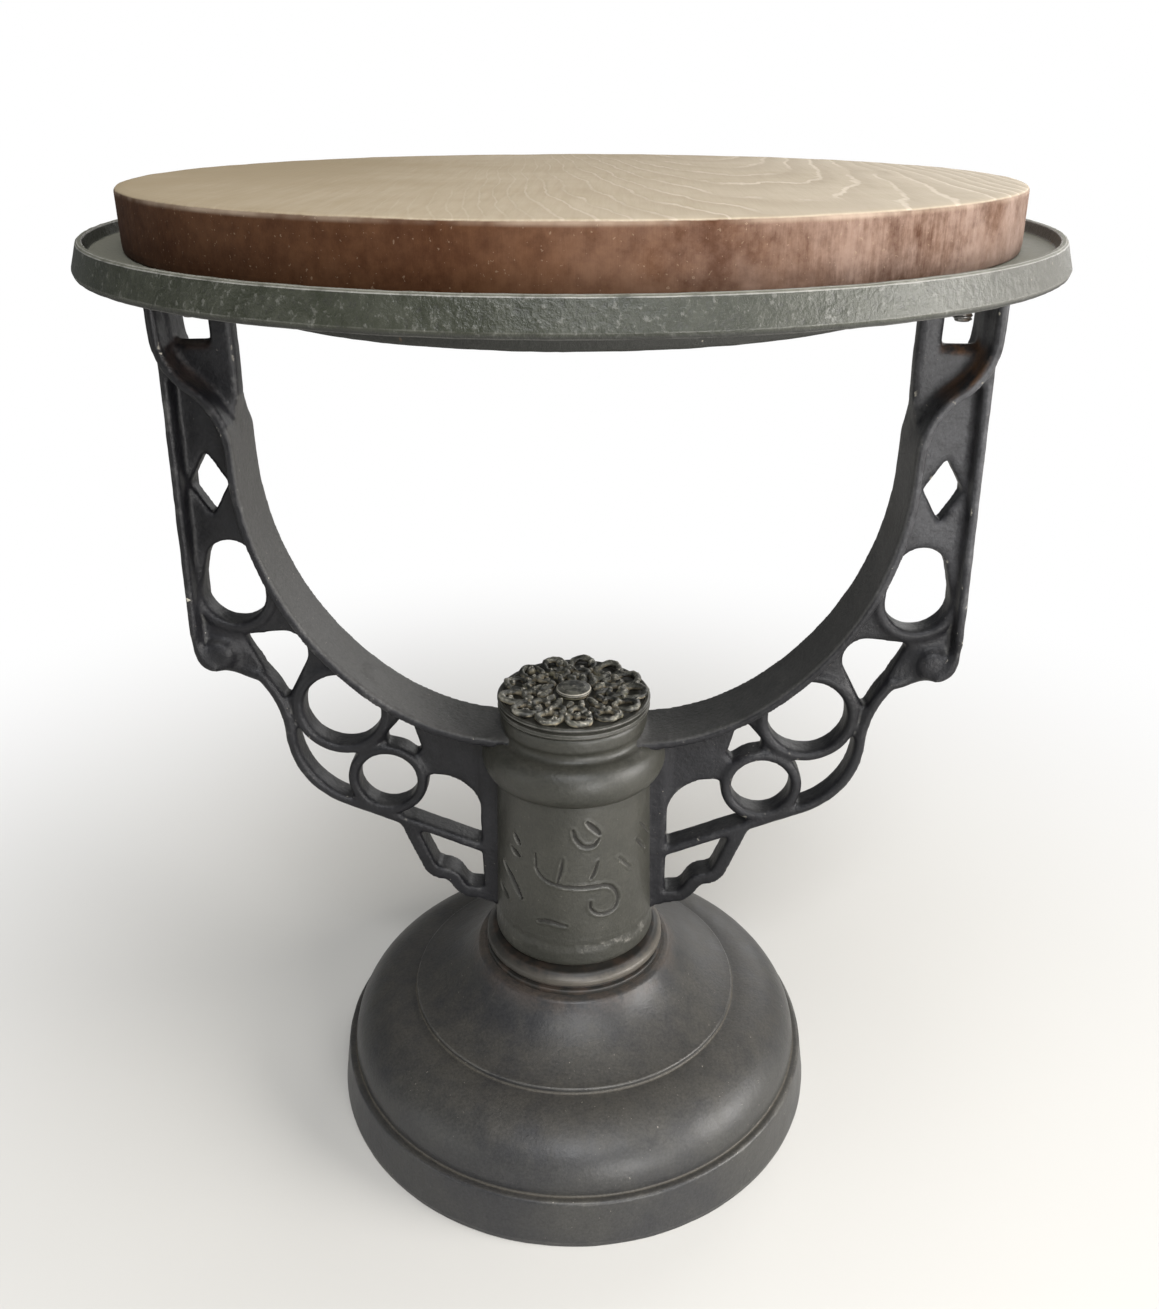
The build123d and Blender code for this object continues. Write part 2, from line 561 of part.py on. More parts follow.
def arm_web():
    """Thin panels between the broad edge and the scrolls, with diamond, oval and window."""
    rib_x = ARM_OUTER - RIB_WIDTH / 2
    lug_low = U_CENTRE_HEIGHT - LUG_DROP
    oval = (ARM_OUTER - OVAL_SIDE, U_CENTRE_HEIGHT - OVAL_DROP)
    large = large_ring_centre()
    small = small_ring_centre()
    flange_middle = U_RADIUS + FLANGE_THICKNESS / 2
    foot_middle = U_FOOT_RADIUS + FLANGE_THICKNESS / 2
    panel = Polygon(
        (BRACKET_INNER, YOKE_TOP),
        (BRACKET_OUTER - RIB_WIDTH / 2, YOKE_TOP),
        (BRACKET_OUTER - RIB_WIDTH / 2, SWEEP_START),
        (rib_x, lug_low + LUG_RADIUS),
        (rib_x - LUG_RADIUS, lug_low),
        shifted(oval, LEAF_HEEL),
        shifted(oval, LEAF_FOOT),
        large,
        polar(U_CENTRE, flange_middle, -GUSSET_FOOT),
        U_CENTRE,
        (U_HALF_WIDTH, U_CENTRE_HEIGHT),
        (U_HALF_WIDTH, SWEEP_START),
        (BRACKET_INNER, SWEEP_START + SWEEP_INNER_RADIUS),
        align=None,
    )
    oval_top = (oval[0], oval[1] + OVAL_LENGTH)
    eye = make_hull(
        (Pos(*oval) * Circle(OVAL_LOWER_RADIUS) + Pos(*oval_top) * Circle(OVAL_UPPER_RADIUS)).edges()
    )
    half_wide = DIAMOND_WIDTH / 2
    half_tall = DIAMOND_HEIGHT / 2
    diamond = Polygon((half_wide, 0), (0, half_tall), (-half_wide, 0), (0, -half_tall), align=None)
    diamond_x = U_HALF_WIDTH + ARM_WIDTH / 2
    window = Rectangle(WINDOW_WIDTH, WINDOW_HEIGHT)
    strap_face = HUB_FOOT_RADIUS + STRAP_WIDTH
    leaf = (strap_face + LEAF_RADIUS - LEAF_BITE, small[1] - LEAF_RADIUS + LEAF_RISE)
    root = Polygon(
        (CORE_RADIUS, FOOT_CENTRE[1]),
        FOOT_CENTRE,
        large,
        small,
        leaf,
        (CORE_RADIUS, leaf[1]),
        align=None,
    )
    sheet = panel + root
    sheet -= Pos(*U_CENTRE) * Circle(flange_middle)
    sheet -= Pos(*FOOT_CENTRE) * Circle(foot_middle)
    sheet -= eye
    sheet -= Pos(diamond_x, U_CENTRE_HEIGHT - DIAMOND_DROP) * diamond
    sheet -= Pos(WINDOW_X, PAD_BOTTOM - WINDOW_HEIGHT / 2) * window
    sheet -= leaf_opening(oval)
    sheet -= spandrel_opening(small)
    sheet -= Pos(*leaf) * Circle(LEAF_RADIUS)
    sheet -= Pos(*small) * Circle(SMALL_RING_EYE)
    sheet -= Pos(*large) * Circle(LARGE_RING_EYE)
    return plate(sheet, WEB_THICKNESS) - window_sill()


def window_sill():
    """Roof-shaped cut: the window's sill slopes off from its middle to both faces of the web."""
    sill = PAD_BOTTOM - WINDOW_HEIGHT
    reach = WEB_THICKNESS / 2 + OVERCUT
    roof = Polygon(
        (-reach, sill - SILL_FALL),
        (0, sill),
        (reach, sill - SILL_FALL),
        (reach, sill + SILL_FALL),
        (-reach, sill + SILL_FALL),
        align=None,
    )
    return Pos(WINDOW_X, 0) * extrude(Plane.YZ * roof, amount=WINDOW_WIDTH / 2, both=True)


def column_tail():
    """Back half of the broad edge, drawn out in a taper along the column's inner side."""
    taper = Polygon(
        (0, SWEEP_START),
        (FLANGE_DEPTH / 2, SWEEP_START),
        (WEB_THICKNESS / 2, SWEEP_START + TAIL_RISE),
        (0, SWEEP_START + TAIL_RISE),
        align=None,
    )
    return Pos(U_HALF_WIDTH, 0) * extrude(Plane.YZ * taper, amount=FLANGE_THICKNESS)


def make_arm():
    """One arm: broad edge, web, scroll bars, root strap on the hub and top pad."""
    pad = Pos((BRACKET_INNER + BRACKET_OUTER) / 2, 0, YOKE_TOP - PAD_THICKNESS / 2)
    pad *= Box(BRACKET_OUTER - BRACKET_INNER, FLANGE_DEPTH, PAD_THICKNESS)
    strap_low = HUB_BOTTOM + HUB_BAND_HEIGHT
    strap_high = U_FLOOR
    strap_x = HUB_FOOT_RADIUS + STRAP_WIDTH
    strap = Pos(strap_x / 2, 0, (strap_low + strap_high) / 2)
    strap *= Box(strap_x, STRAP_DEPTH, strap_high - strap_low)
    strap = chamfer(strap.faces().sort_by(Axis.X)[-1].edges().filter_by(Axis.Z), BAR_CHAMFER)
    arm = broad_edge().fuse(arm_web(), scroll_bars(), column_tail(), pad, strap)
    bolt_hole = Pos(WINDOW_X, 0, PAD_BOTTOM - OVERCUT) * extrude(
        Circle(BOLT_RADIUS + BOLT_CLEARANCE), amount=PAD_THICKNESS + 2 * OVERCUT
    )
    return arm - bolt_hole


def make_hub():
    """Hub sleeve: foot band, tapered body, collar bead and neck."""
    band = HUB_BOTTOM + HUB_BAND_HEIGHT
    neck = HUB_TOP - NECK_HEIGHT
    collar = neck - COLLAR_HEIGHT
    outline = [
        Polyline(
            (0, HUB_BOTTOM),
            (HUB_FOOT_RADIUS, HUB_BOTTOM),
            (HUB_FOOT_RADIUS, band),
            (HUB_FOOT_RADIUS - HUB_BAND_RELIEF, band + HUB_BAND_RELIEF),
            (HUB_TOP_RADIUS, collar),
        ),
        ThreePointArc(
            (HUB_TOP_RADIUS, collar),
            (COLLAR_RADIUS, collar + COLLAR_BELLY),
            (NECK_RADIUS + EDGE_ROUND, neck),
        ),
        Polyline(
            (NECK_RADIUS + EDGE_ROUND, neck),
            (NECK_RADIUS, neck),
            (NECK_RADIUS, HUB_TOP),
            (0, HUB_TOP),
            (0, HUB_BOTTOM),
        ),
    ]
    return lathe(outline)


def make_hub_bore():
    """Bore of the hub: two lands on the spindle, a cored relief between and the top recess."""
    bore = SPINDLE_RADIUS + RUNNING_FIT
    low_land = HUB_BOTTOM + LAND_LENGTH
    high_land = RECESS_FLOOR - LAND_LENGTH
    return lathe(
        Polyline(
            (0, HUB_BOTTOM - OVERCUT),
            (bore, HUB_BOTTOM - OVERCUT),
            (bore, low_land),
            (CORE_RADIUS, low_land + CORE_RADIUS - bore),
            (CORE_RADIUS, high_land - CORE_RADIUS + bore),
            (bore, high_land),
            (bore, RECESS_FLOOR),
            (RECESS_RADIUS, RECESS_FLOOR),
            (RECESS_RADIUS, HUB_TOP + OVERCUT),
            (0, HUB_TOP + OVERCUT),
            close=True,
        )
    )


def make_yoke():
    """Hub and both arms in one casting."""
    arm = make_arm()
    return make_hub().fuse(arm, mirror(arm, about=Plane.YZ)) - make_hub_bore()


def make_pan():
    """Round seat pan: flange, thin raised rim with a flared skirt and a dish underneath."""
    rim_inner = BOARD_RADIUS + BOARD_GAP
    rim_top = PAN_FLOOR + RIM_HEIGHT
    skirt_low = YOKE_TOP - RIM_SKIRT
    dish_low = YOKE_TOP - DISH_DEPTH
    dish_floor = dish_low + PAN_THICKNESS
    dish_inner = DISH_RADIUS - PAN_THICKNESS
    pan = lathe(
        Polyline(
            (0, dish_low),
            (DISH_RADIUS - DISH_DRAFT, dish_low),
            (DISH_RADIUS, YOKE_TOP),
            (PAN_RADIUS - 2 * RIM_FLARE, YOKE_TOP),
            (PAN_RADIUS - RIM_FLARE, skirt_low),
            (PAN_RADIUS - RIM_SKIRT, skirt_low),
            (PAN_RADIUS, skirt_low + RIM_SKIRT),
            (PAN_RADIUS, skirt_low + 2 * RIM_SKIRT),
            (rim_inner + RIM_THICKNESS, rim_top - RIM_SKIRT),
            (rim_inner + RIM_THICKNESS - RIM_SKIRT, rim_top),
            (rim_inner + RIM_SKIRT, rim_top),
            (rim_inner, PAN_FLOOR),
            (dish_inner, PAN_FLOOR),
            (dish_inner - DISH_DRAFT, dish_floor),
            (0, dish_floor),
            close=True,
        )
    )
    drill_low = YOKE_TOP - OVERCUT
    drill_depth = PAN_THICKNESS + 2 * OVERCUT
    bolt_hole = Pos(0, 0, drill_low) * extrude(Circle(BOLT_RADIUS + BOLT_CLEARANCE), amount=drill_depth)
    sink_low = PAN_FLOOR - BOLT_HEAD_HEIGHT
    sink = Pos(0, 0, sink_low) * extrude(Circle(BOLT_HEAD_RADIUS + BOLT_CLEARANCE), amount=PAN_THICKNESS)
    for side in (-1, 1):
        pan -= Pos(side * WINDOW_X, 0) * (bolt_hole + sink)
    screw_hole = Pos(0, 0, drill_low) * extrude(
        Circle(BOARD_SCREW_RADIUS + BOLT_CLEARANCE), amount=drill_depth
    )
    for place in PolarLocations(BOARD_SCREW_CIRCLE, BOARD_SCREW_COUNT, 180 / BOARD_SCREW_COUNT):
        pan -= place * screw_hole
    return pan


def make_board():
    """Round wooden board with an eased top edge and pilot holes for its screws."""
    board = Pos(0, 0, PAN_FLOOR) * extrude(Circle(BOARD_RADIUS), amount=BOARD_THICKNESS)
    board = fillet(board.edges().sort_by(Axis.Z)[-1], BOARD_ROUND)
    pilot = Pos(0, 0, PAN_FLOOR - OVERCUT) * extrude(
        Circle(BOARD_SCREW_RADIUS + SEAT_FIT), amount=BOARD_SCREW_BITE + OVERCUT + END_PLAY
    )
    for place in PolarLocations(BOARD_SCREW_CIRCLE, BOARD_SCREW_COUNT, 180 / BOARD_SCREW_COUNT):
        board -= place * pilot
    return board


def make_pan_bolts():
    """Two flat-headed bolts, sunk in the pan's floor, through the arms' pads."""
    end = PAD_BOTTOM - PAN_WASHER_THICKNESS - NUT_HEIGHT - BOLT_STICKOUT
    head_low = PAN_FLOOR - BOLT_HEAD_HEIGHT
    bolt = lathe(
        Polyline(
            (0, end),
            (BOLT_RADIUS - RIM_SKIRT, end),
            (BOLT_RADIUS, end + RIM_SKIRT),
            (BOLT_RADIUS, head_low),
            (BOLT_HEAD_RADIUS, head_low),
            (BOLT_HEAD_RADIUS, PAN_FLOOR),
            (0, PAN_FLOOR),
            close=True,
        )
    )
    return Compound(children=[Pos(side * WINDOW_X, 0) * bolt for side in (-1, 1)])


def make_pan_washers():
    """A washer under each pan nut."""
    low = PAD_BOTTOM - PAN_WASHER_THICKNESS
    washer = ring(BOLT_RADIUS + SEAT_FIT, PAN_WASHER_RADIUS, low, PAD_BOTTOM)
    return Compound(children=[Pos(side * WINDOW_X, 0) * washer for side in (-1, 1)])


def make_pan_nuts():
    """A square nut in each arm's window."""
    low = PAD_BOTTOM - PAN_WASHER_THICKNESS - NUT_HEIGHT
    nut = square_nut(NUT_FLATS, NUT_HEIGHT, BOLT_RADIUS + SEAT_FIT, low)
    return Compound(children=[Pos(side * WINDOW_X, 0) * nut for side in (-1, 1)])


def make_board_screws():
    """Pan-headed wood screws up through the pan's flange into the board."""
    low = YOKE_TOP - BOARD_SCREW_HEAD_HEIGHT
    tip = PAN_FLOOR + BOARD_SCREW_BITE
    screw = lathe(
        Polyline(
            (0, low),
            (BOARD_SCREW_RADIUS, low),
            (BOARD_SCREW_HEAD_RADIUS, YOKE_TOP),
            (BOARD_SCREW_RADIUS, YOKE_TOP),
            (BOARD_SCREW_RADIUS, tip - 2 * BOARD_SCREW_RADIUS),
            (0, tip),
            close=True,
        )
    )
    places = PolarLocations(BOARD_SCREW_CIRCLE, BOARD_SCREW_COUNT, 180 / BOARD_SCREW_COUNT)
    return Compound(children=[place * screw for place in places])


PIECES = {
    "base_casting": make_base,
    "spindle": make_spindle,
    "spindle_washer": make_spindle_washer,
    "spindle_nut": make_spindle_nut,
    "thrust_ring": make_thrust_ring,
    "thrust_washer": make_thrust_washer,
    "retaining_washer": make_retaining_washer,
    "retaining_nut": make_retaining_nut,
    "cap_plate": make_cap_plate,
    "rosette": make_rosette,
    "cap_screw": make_cap_screw,
    "yoke_casting": make_yoke,
    "seat_pan": make_pan,
    "seat_board": make_board,
    "pan_bolts": make_pan_bolts,
    "pan_washers": make_pan_washers,
    "pan_nuts": make_pan_nuts,
    "board_screws": make_board_screws,
}

os.makedirs("parts", exist_ok=True)
for name, make in PIECES.items():
    export_step(make(), f"parts/{name}.step")
print(f"seat height {SEAT_TOP:.1f}, pan radius {PAN_RADIUS:.1f}, yoke top {YOKE_TOP:.1f}")
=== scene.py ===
import math

import bmesh
import bpy
import numpy as np
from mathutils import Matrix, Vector, noise


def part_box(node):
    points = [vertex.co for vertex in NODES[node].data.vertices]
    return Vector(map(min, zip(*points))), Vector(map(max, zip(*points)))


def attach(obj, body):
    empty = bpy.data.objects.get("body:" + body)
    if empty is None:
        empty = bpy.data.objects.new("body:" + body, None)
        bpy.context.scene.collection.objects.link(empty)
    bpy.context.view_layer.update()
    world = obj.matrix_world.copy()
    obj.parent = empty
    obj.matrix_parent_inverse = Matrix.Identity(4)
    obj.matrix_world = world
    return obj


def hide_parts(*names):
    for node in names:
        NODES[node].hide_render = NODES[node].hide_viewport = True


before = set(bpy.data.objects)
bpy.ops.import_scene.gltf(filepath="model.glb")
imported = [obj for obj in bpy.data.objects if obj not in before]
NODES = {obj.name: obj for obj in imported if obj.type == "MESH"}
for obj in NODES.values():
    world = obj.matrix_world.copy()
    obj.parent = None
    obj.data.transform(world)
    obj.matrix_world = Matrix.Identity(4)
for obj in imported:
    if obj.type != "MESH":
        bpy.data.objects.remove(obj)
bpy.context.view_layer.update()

# Looks of a cast-iron swivel stool: bell base, carved hub with two pierced arms, pan and wooden board.
# Metres. Z is up from the floor, the spindle stands on the Z axis, the arms lie along X.

MM = 0.001


def low(node):
    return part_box(node)[0]


def top(node):
    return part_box(node)[1]


# Places taken from the solids, the hub mouth's height over its washer, and the bolt heads' radius
HUB_MOUTH = 13.2 * MM
BOLT_HEAD_R = 8.0 * MM
BASE_R = top("base_casting").x
BASE_TOP = top("base_casting").z
RING_TOP = top("thrust_ring").z
HUB_LOW = low("yoke_casting").z
HUB_TOP = low("retaining_washer").z + HUB_MOUTH
CAP_R = top("cap_plate").x
CAP_LOW = low("cap_plate").z
CAP_TOP = top("cap_plate").z
ROSETTE_TOP = top("rosette").z
YOKE_TOP = top("yoke_casting").z
PAN_R = top("seat_pan").x
PAN_RIM = top("seat_pan").z
PAN_LOW = low("seat_pan").z
BOARD_R = top("seat_board").x
BOARD_LOW = low("seat_board").z
BOARD_TOP = top("seat_board").z
BOLT_LOW = low("pan_bolts").z
BOLT_TOP = top("pan_bolts").z
BOLT_X = top("pan_bolts").x - BOLT_HEAD_R

# Arms: grid of the rounding, how often it is smoothed, what is given back, and where the hub hides the cut
ARM_VOXEL, ARM_SMOOTHING, ARM_REGAIN, ARM_CUT = 1.25 * MM, 6, 0.32 * MM, 29.0 * MM

# Lug at the foot of an arm's outer rib: its centre, and how far around it and how often it is softened
LUG_X, LUG_Z = 166.9 * MM, 247.0 * MM
LUG_SOFT, LUG_FADE, LUG_PASSES = 17.0 * MM, 6.0 * MM, 26

# Arc of the U, and the height over its centre up to which its inner face gets dust that is also painted light
U_CENTRE_X, U_CENTRE_Z, U_RADIUS, DUST_AND_LIGHT_IN_U = 7.0 * MM, 340.1 * MM, 137.6 * MM, 30 * MM

# Hollow inside the drawn hub, wall of the base, and the first rings of a piece that closes on its axis
HUB_CORE, BASE_WALL = 26.0 * MM, 6.5 * MM
POLE, POLE_RING = 0.02 * MM, 0.3 * MM

# Cast unevenness: how fast the finer noise fades, its step in size, and its layers
CAST_FADE, CAST_STEP, CAST_LAYERS = 0.8, 2.0, 3


class Wire:
    """A node's socket that takes part in plain arithmetic."""

    def __init__(self, finish, socket):
        self.finish = finish
        self.socket = socket

    def math(self, operation, first, second):
        return self.finish.node("Math", {0: first, 1: second}, operation=operation)

    def __add__(self, other):
        return self.math("ADD", self, other)

    def __radd__(self, other):
        return self.math("ADD", other, self)

    def __sub__(self, other):
        return self.math("SUBTRACT", self, other)

    def __rsub__(self, other):
        return self.math("SUBTRACT", other, self)

    def __mul__(self, other):
        return self.math("MULTIPLY", self, other)

    def __rmul__(self, other):
        return self.math("MULTIPLY", other, self)


class Finish:
    """A procedural material, built node by node."""

    def __init__(self, name):
        self.material = bpy.data.materials.new(name)
        self.material.use_nodes = True
        self.tree = self.material.node_tree
        self.tree.nodes.clear()
        self.place = self.node("TexCoord", output="Object")
        self.x, self.y, self.z = (
            self.node("SeparateXYZ", {0: self.place}, output=axis) for axis in "XYZ"
        )

    def node(self, kind, inputs=None, output=0, **settings):
        made = self.tree.nodes.new("ShaderNode" + kind)
        for key, value in settings.items():
            setattr(made, key, value)
        for key, value in (inputs or {}).items():
            if isinstance(value, Wire):
                self.tree.links.new(value.socket, made.inputs[key])
            else:
                made.inputs[key].default_value = value
        return Wire(self, made.outputs[output])

    def noise(self, scale, detail, rough, place=None):
        where = place or self.place
        return self.node("TexNoise", {"Vector": where, "Scale": scale, "Detail": detail, "Roughness": rough})

    def stretched(self, x, y, z):
        return self.node("Mapping", {"Vector": self.place, "Scale": (x, y, z)})

    def step(self, value, start, end):
        """0 up to the start, 1 from the end on, and a soft change between them."""
        inputs = {"Value": value, "From Min": start, "From Max": end}
        return self.node("MapRange", inputs, interpolation_type="SMOOTHSTEP")

    def band(self, value, start, full, fading, end):
        """1 within a band that has soft sides."""
        return self.step(value, start, full) * (1 - self.step(value, fading, end))

    def tint(self, factor, first, second):
        return self.node("Mix", {0: factor, 6: first, 7: second}, output=2, data_type="RGBA")

    def scaled(self, colour, factor):
        return self.node("VectorMath", {0: colour, "Scale": factor}, operation="SCALE")

    def mark(self, name):
        return self.node("Attribute", output="Fac", attribute_name=name)

    def facing_up(self):
        normal = self.node("NewGeometry", output="Normal")
        return self.node("SeparateXYZ", {0: normal}, output="Z")

    def bump(self, height, distance):
        return self.node("Bump", {"Height": height, "Distance": distance, "Strength": 1.0})

    def show(self, shader):
        """The material, with this shader on its surface."""
        output = self.tree.nodes.new("ShaderNodeOutputMaterial")
        self.tree.links.new(shader.socket, output.inputs["Surface"])
        return self.material

    def surface(self, colour, roughness, normal, **others):
        inputs = {"Base Color": colour, "Roughness": roughness, "Normal": normal, **others}
        return self.show(self.node("BsdfPrincipled", inputs))


def shade(red, green, blue):
    return (red, green, blue, 1.0)


def painted_iron(
    name, dark, light, gloss, dust, worn, wear, rust, rust_colour=(0.105, 0.061, 0.038),
    grain=0.38, soiling_and_painted_light=0.0, chips=0.0, shine=0.5, painted_sheen=None,
):
    """Old satin paint on cast iron: uneven tone, worn edges, dust in the hollows that on the arms' U is also
    painted light, a dark fill of marked hollows that on the hub's carving is grimy soiling and painted shade,
    and where asked a painted sheen.
    """
    dark_soil_and_shade, sheen_grey = shade(0.012, 0.011, 0.009), shade(0.1, 0.1, 0.106)
    bare_chip, pale_fleck = shade(0.46, 0.43, 0.36), shade(0.38, 0.35, 0.3)
    f = Finish(name)
    cloud = f.noise(14.0, 5.0, 0.6)
    patch = f.noise(95.0, 4.0, 0.6)
    speck = f.noise(620.0, 2.0, 0.5)
    edge = f.mark("edge")
    hollow = f.mark("hollow")
    tone = f.step(cloud * 0.75 + patch * 0.25, 0.34, 0.66)
    colour = f.tint(tone, shade(*dark), shade(*light))
    sunk = f.step(hollow + patch * 0.4, 0.45, 0.95)
    # Dark fill of the marked hollows, as strong as asked: on the hub's carving it is grimy soiling and
    # painted shade in the cuts
    colour = f.tint(sunk * soiling_and_painted_light, colour, dark_soil_and_shade)
    # Dust on upward faces and in hollows, which on the arms' U inner face is also painted light
    dust_and_light = f.step(f.facing_up() + patch * 0.7, 0.95, 1.5) * 0.3 + sunk * (0.5 - 0.5 * soiling_and_painted_light)
    colour = f.tint(dust_and_light, colour, shade(*dust))
    # Painted sheen: a pale grey laid on part of the surface in place of the light's sheen
    if painted_sheen:
        colour = f.tint(painted_sheen(f) * f.step(cloud * 0.5 + patch * 0.5, 0.3, 0.6), colour, sheen_grey)
    rubbed = f.step(edge + (patch - 0.5) * 1.8 + (cloud - 0.5) * 1.2, 0.5, 1.0)
    colour = f.tint(rubbed * wear, colour, shade(*worn))
    colour = f.tint(rust(f) * f.step(patch, 0.34, 0.56), colour, shade(*rust_colour))
    if chips:
        chipped = f.step(f.noise(150.0, 3.0, 0.6), 0.66, 0.69) * f.step(edge, 0.25, 0.5)
        colour = f.tint(chipped * chips, colour, bare_chip)
    fleck = f.step(speck, 0.73, 0.76) * f.step(cloud, 0.45, 0.6)
    colour = f.tint(fleck * 0.5, colour, pale_fleck)
    grit = f.noise(760.0, 3.0, 0.7)
    colour = f.scaled(colour, 0.45 + 1.1 * grit)
    roughness = gloss + 0.16 * patch + 0.2 * dust_and_light + 0.4 * soiling_and_painted_light * sunk - 0.06 * rubbed
    pebbles = f.noise(430.0, 4.0, 0.6)
    normal = f.bump(pebbles * 0.9 + patch * 0.7, grain * MM)
    return f.surface(colour, roughness, normal, **{"Specular IOR Level": shine})


def shelf_rust(f):
    """Brown on the ledges over the arms' sweeps and on the window sills, most of it on the right."""
    ledges = f.band(f.z, 370 * MM, 380 * MM, 398 * MM, 402 * MM)
    right = f.step(f.x, -50 * MM, 50 * MM)
    return ledges * f.step(f.facing_up(), 0.0, 0.5) * (0.12 + 0.88 * right)


def right_arm_sheen(f):
    """Painted sheen: a pale grey on the right arm's upper web, in place of the light's sheen there."""
    return f.step(f.x, 110 * MM, 165 * MM) * f.step(f.z, 250 * MM, 330 * MM) * 0.55


def band_scuffs(f):
    """Pale scuffs along the hub's foot band."""
    foot_band = f.band(f.z - HUB_LOW, 5.0 * MM, 8.0 * MM, 11.0 * MM, 14.0 * MM)
    return foot_band * f.step(f.noise(60.0, 5.0, 0.75), 0.56, 0.66)


def foot_brown(f):
    """Brown dust around the neck of the base."""
    return f.step(f.z, 72 * MM, 81 * MM) * 0.16


def pan_iron():
    """Bare graphite-grey casting with a pebbly skin, a rubbed rim, dust on its floor, painted shade under the
    rim and a right side painted paler as light.
    """
    f = Finish("pan graphite iron")
    cloud = f.noise(11.0, 5.0, 0.6)
    patch = f.noise(120.0, 5.0, 0.65)
    pebbles = f.noise(420.0, 4.0, 0.65)
    edge = f.mark("edge")
    tone = f.step(cloud * 0.65 + patch * 0.35, 0.38, 0.62)
    colour = f.tint(tone, shade(0.012, 0.014, 0.006), shade(0.036, 0.038, 0.026))
    pitted = 1 - f.step(pebbles, 0.32, 0.44)
    colour = f.tint(pitted * 0.7, colour, shade(0.016, 0.016, 0.012))
    grain_tops = f.step(pebbles, 0.56, 0.68)
    colour = f.tint(grain_tops * 0.35, colour, shade(0.17, 0.168, 0.152))
    # Painted shade: the dish's side below the rim darkened, where the rim's shade falls
    below = 1 - f.step(f.z, YOKE_TOP - 0.3 * MM, YOKE_TOP + 1.2 * MM)
    colour = f.tint(below * 0.9, colour, shade(0.012, 0.012, 0.01))
    dusty = f.step(f.facing_up() + (patch - 0.5) * 0.3, 0.55, 0.95)
    colour = f.tint(dusty * 0.65, colour, shade(0.2, 0.195, 0.155))
    high = f.step(f.z, PAN_RIM - 2.6 * MM, PAN_RIM - 0.8 * MM)
    rubbed = f.step(edge + (patch - 0.5) * 1.4 + (cloud - 0.5) * 1.4, 0.5, 1.0) * (0.12 + 0.55 * high)
    colour = f.tint(rubbed, colour, shade(0.3, 0.292, 0.27))
    # Painted light: the right side paler, where the light from the right falls
    right = f.step(f.x + (cloud - 0.5) * (40 * MM), 90 * MM, 170 * MM)
    painted_light_right = right * (1 - below) * (1 - dusty)
    colour = f.tint(painted_light_right * 0.3, colour, shade(0.3, 0.288, 0.275))
    spot = f.step(f.noise(75.0, 1.0, 0.4), 0.79, 0.81)
    colour = f.tint(spot * 0.7, colour, shade(0.15, 0.085, 0.04))
    chip = f.step(f.noise(300.0, 1.0, 0.4), 0.8, 0.82)
    colour = f.tint(chip * 0.6, colour, shade(0.34, 0.31, 0.25))
    roughness = 0.32 + 0.2 * patch + 0.25 * dusty + 0.3 * below - 0.06 * rubbed
    normal = f.bump(pebbles * 1.0 + patch * 0.4, 0.5 * MM)
    return f.surface(colour, roughness, normal)


def ring_iron():
    """Turned bead, rubbed on its belly, brown in its corners, with painted shade on its left and painted
    light on its right.
    """
    f = Finish("rubbed bead iron")
    patch = f.noise(110.0, 5.0, 0.65)
    cloud = f.noise(24.0, 3.0, 0.5)
    turning = f.noise(1.0, 3.0, 0.6, f.stretched(60.0, 60.0, 1400.0))
    belly = f.band(f.z - RING_TOP, -7.5 * MM, -4.5 * MM, -2.5 * MM, 0.0)
    # Painted shade and light: the rubbed belly kept dark on the left, in the hub's shadow, and bright on the
    # right, towards the light
    painted_light_right = 0.25 + 0.75 * f.step(f.x, -40 * MM, 15 * MM)
    bright = f.step(belly * 0.45 + patch * 0.7 + cloud * 0.5, 0.7, 1.2) * painted_light_right
    colour = f.tint(bright, shade(0.012, 0.011, 0.009), shade(0.09, 0.08, 0.066))
    brown = f.step(patch + cloud * 0.3, 0.6, 0.8) * (1 - belly)
    colour = f.tint(brown * 0.5, colour, shade(0.05, 0.032, 0.022))
    roughness = 0.46 - 0.1 * bright + 0.12 * patch
    normal = f.bump(turning * 0.6 + patch * 0.8, 0.16 * MM)
    return f.surface(colour, roughness, normal, Metallic=bright * 0.25)


def dusty_ornament():
    """Dark cast ornament with olive-tan dust in its hollows."""
    f = Finish("dusty ornament iron")
    patch = f.noise(190.0, 5.0, 0.65)
    crumbs = f.noise(620.0, 3.0, 0.6)
    height = f.step(f.z, ROSETTE_TOP - 1.5 * MM, ROSETTE_TOP + 2.0 * MM)
    colour = f.tint(f.step(patch, 0.38, 0.62), shade(0.014, 0.014, 0.011), shade(0.11, 0.108, 0.088))
    low_dust = f.step(patch * 0.8 + crumbs * 0.5 - height * 0.5, 0.42, 0.72)
    colour = f.tint(low_dust * 0.7, colour, shade(0.34, 0.285, 0.19))
    olive = f.step(f.noise(70.0, 3.0, 0.5), 0.54, 0.66) * low_dust
    colour = f.tint(olive * 0.45, colour, shade(0.1, 0.125, 0.075))
    bare = f.step(f.mark("edge") * height + (patch - 0.5), 0.3, 0.75)
    colour = f.tint(bare * 0.85, colour, shade(0.46, 0.43, 0.36))
    roughness = 0.44 + 0.3 * low_dust + 0.1 * patch
    normal = f.bump(crumbs * 0.7 + patch * 0.6, 0.35 * MM)
    return f.surface(colour, roughness, normal)


def plain_steel():
    """Dull fastener steel with brown stains."""
    f = Finish("dull fastener steel")
    patch = f.noise(210.0, 4.0, 0.6)
    stain = f.step(patch, 0.46, 0.64)
    colour = f.tint(stain, shade(0.24, 0.235, 0.225), shade(0.1, 0.075, 0.055))
    normal = f.bump(f.noise(1200.0, 3.0, 0.5), 0.06 * MM)
    return f.surface(colour, 0.36 + 0.3 * stain, normal, Metallic=0.85 - 0.5 * stain)


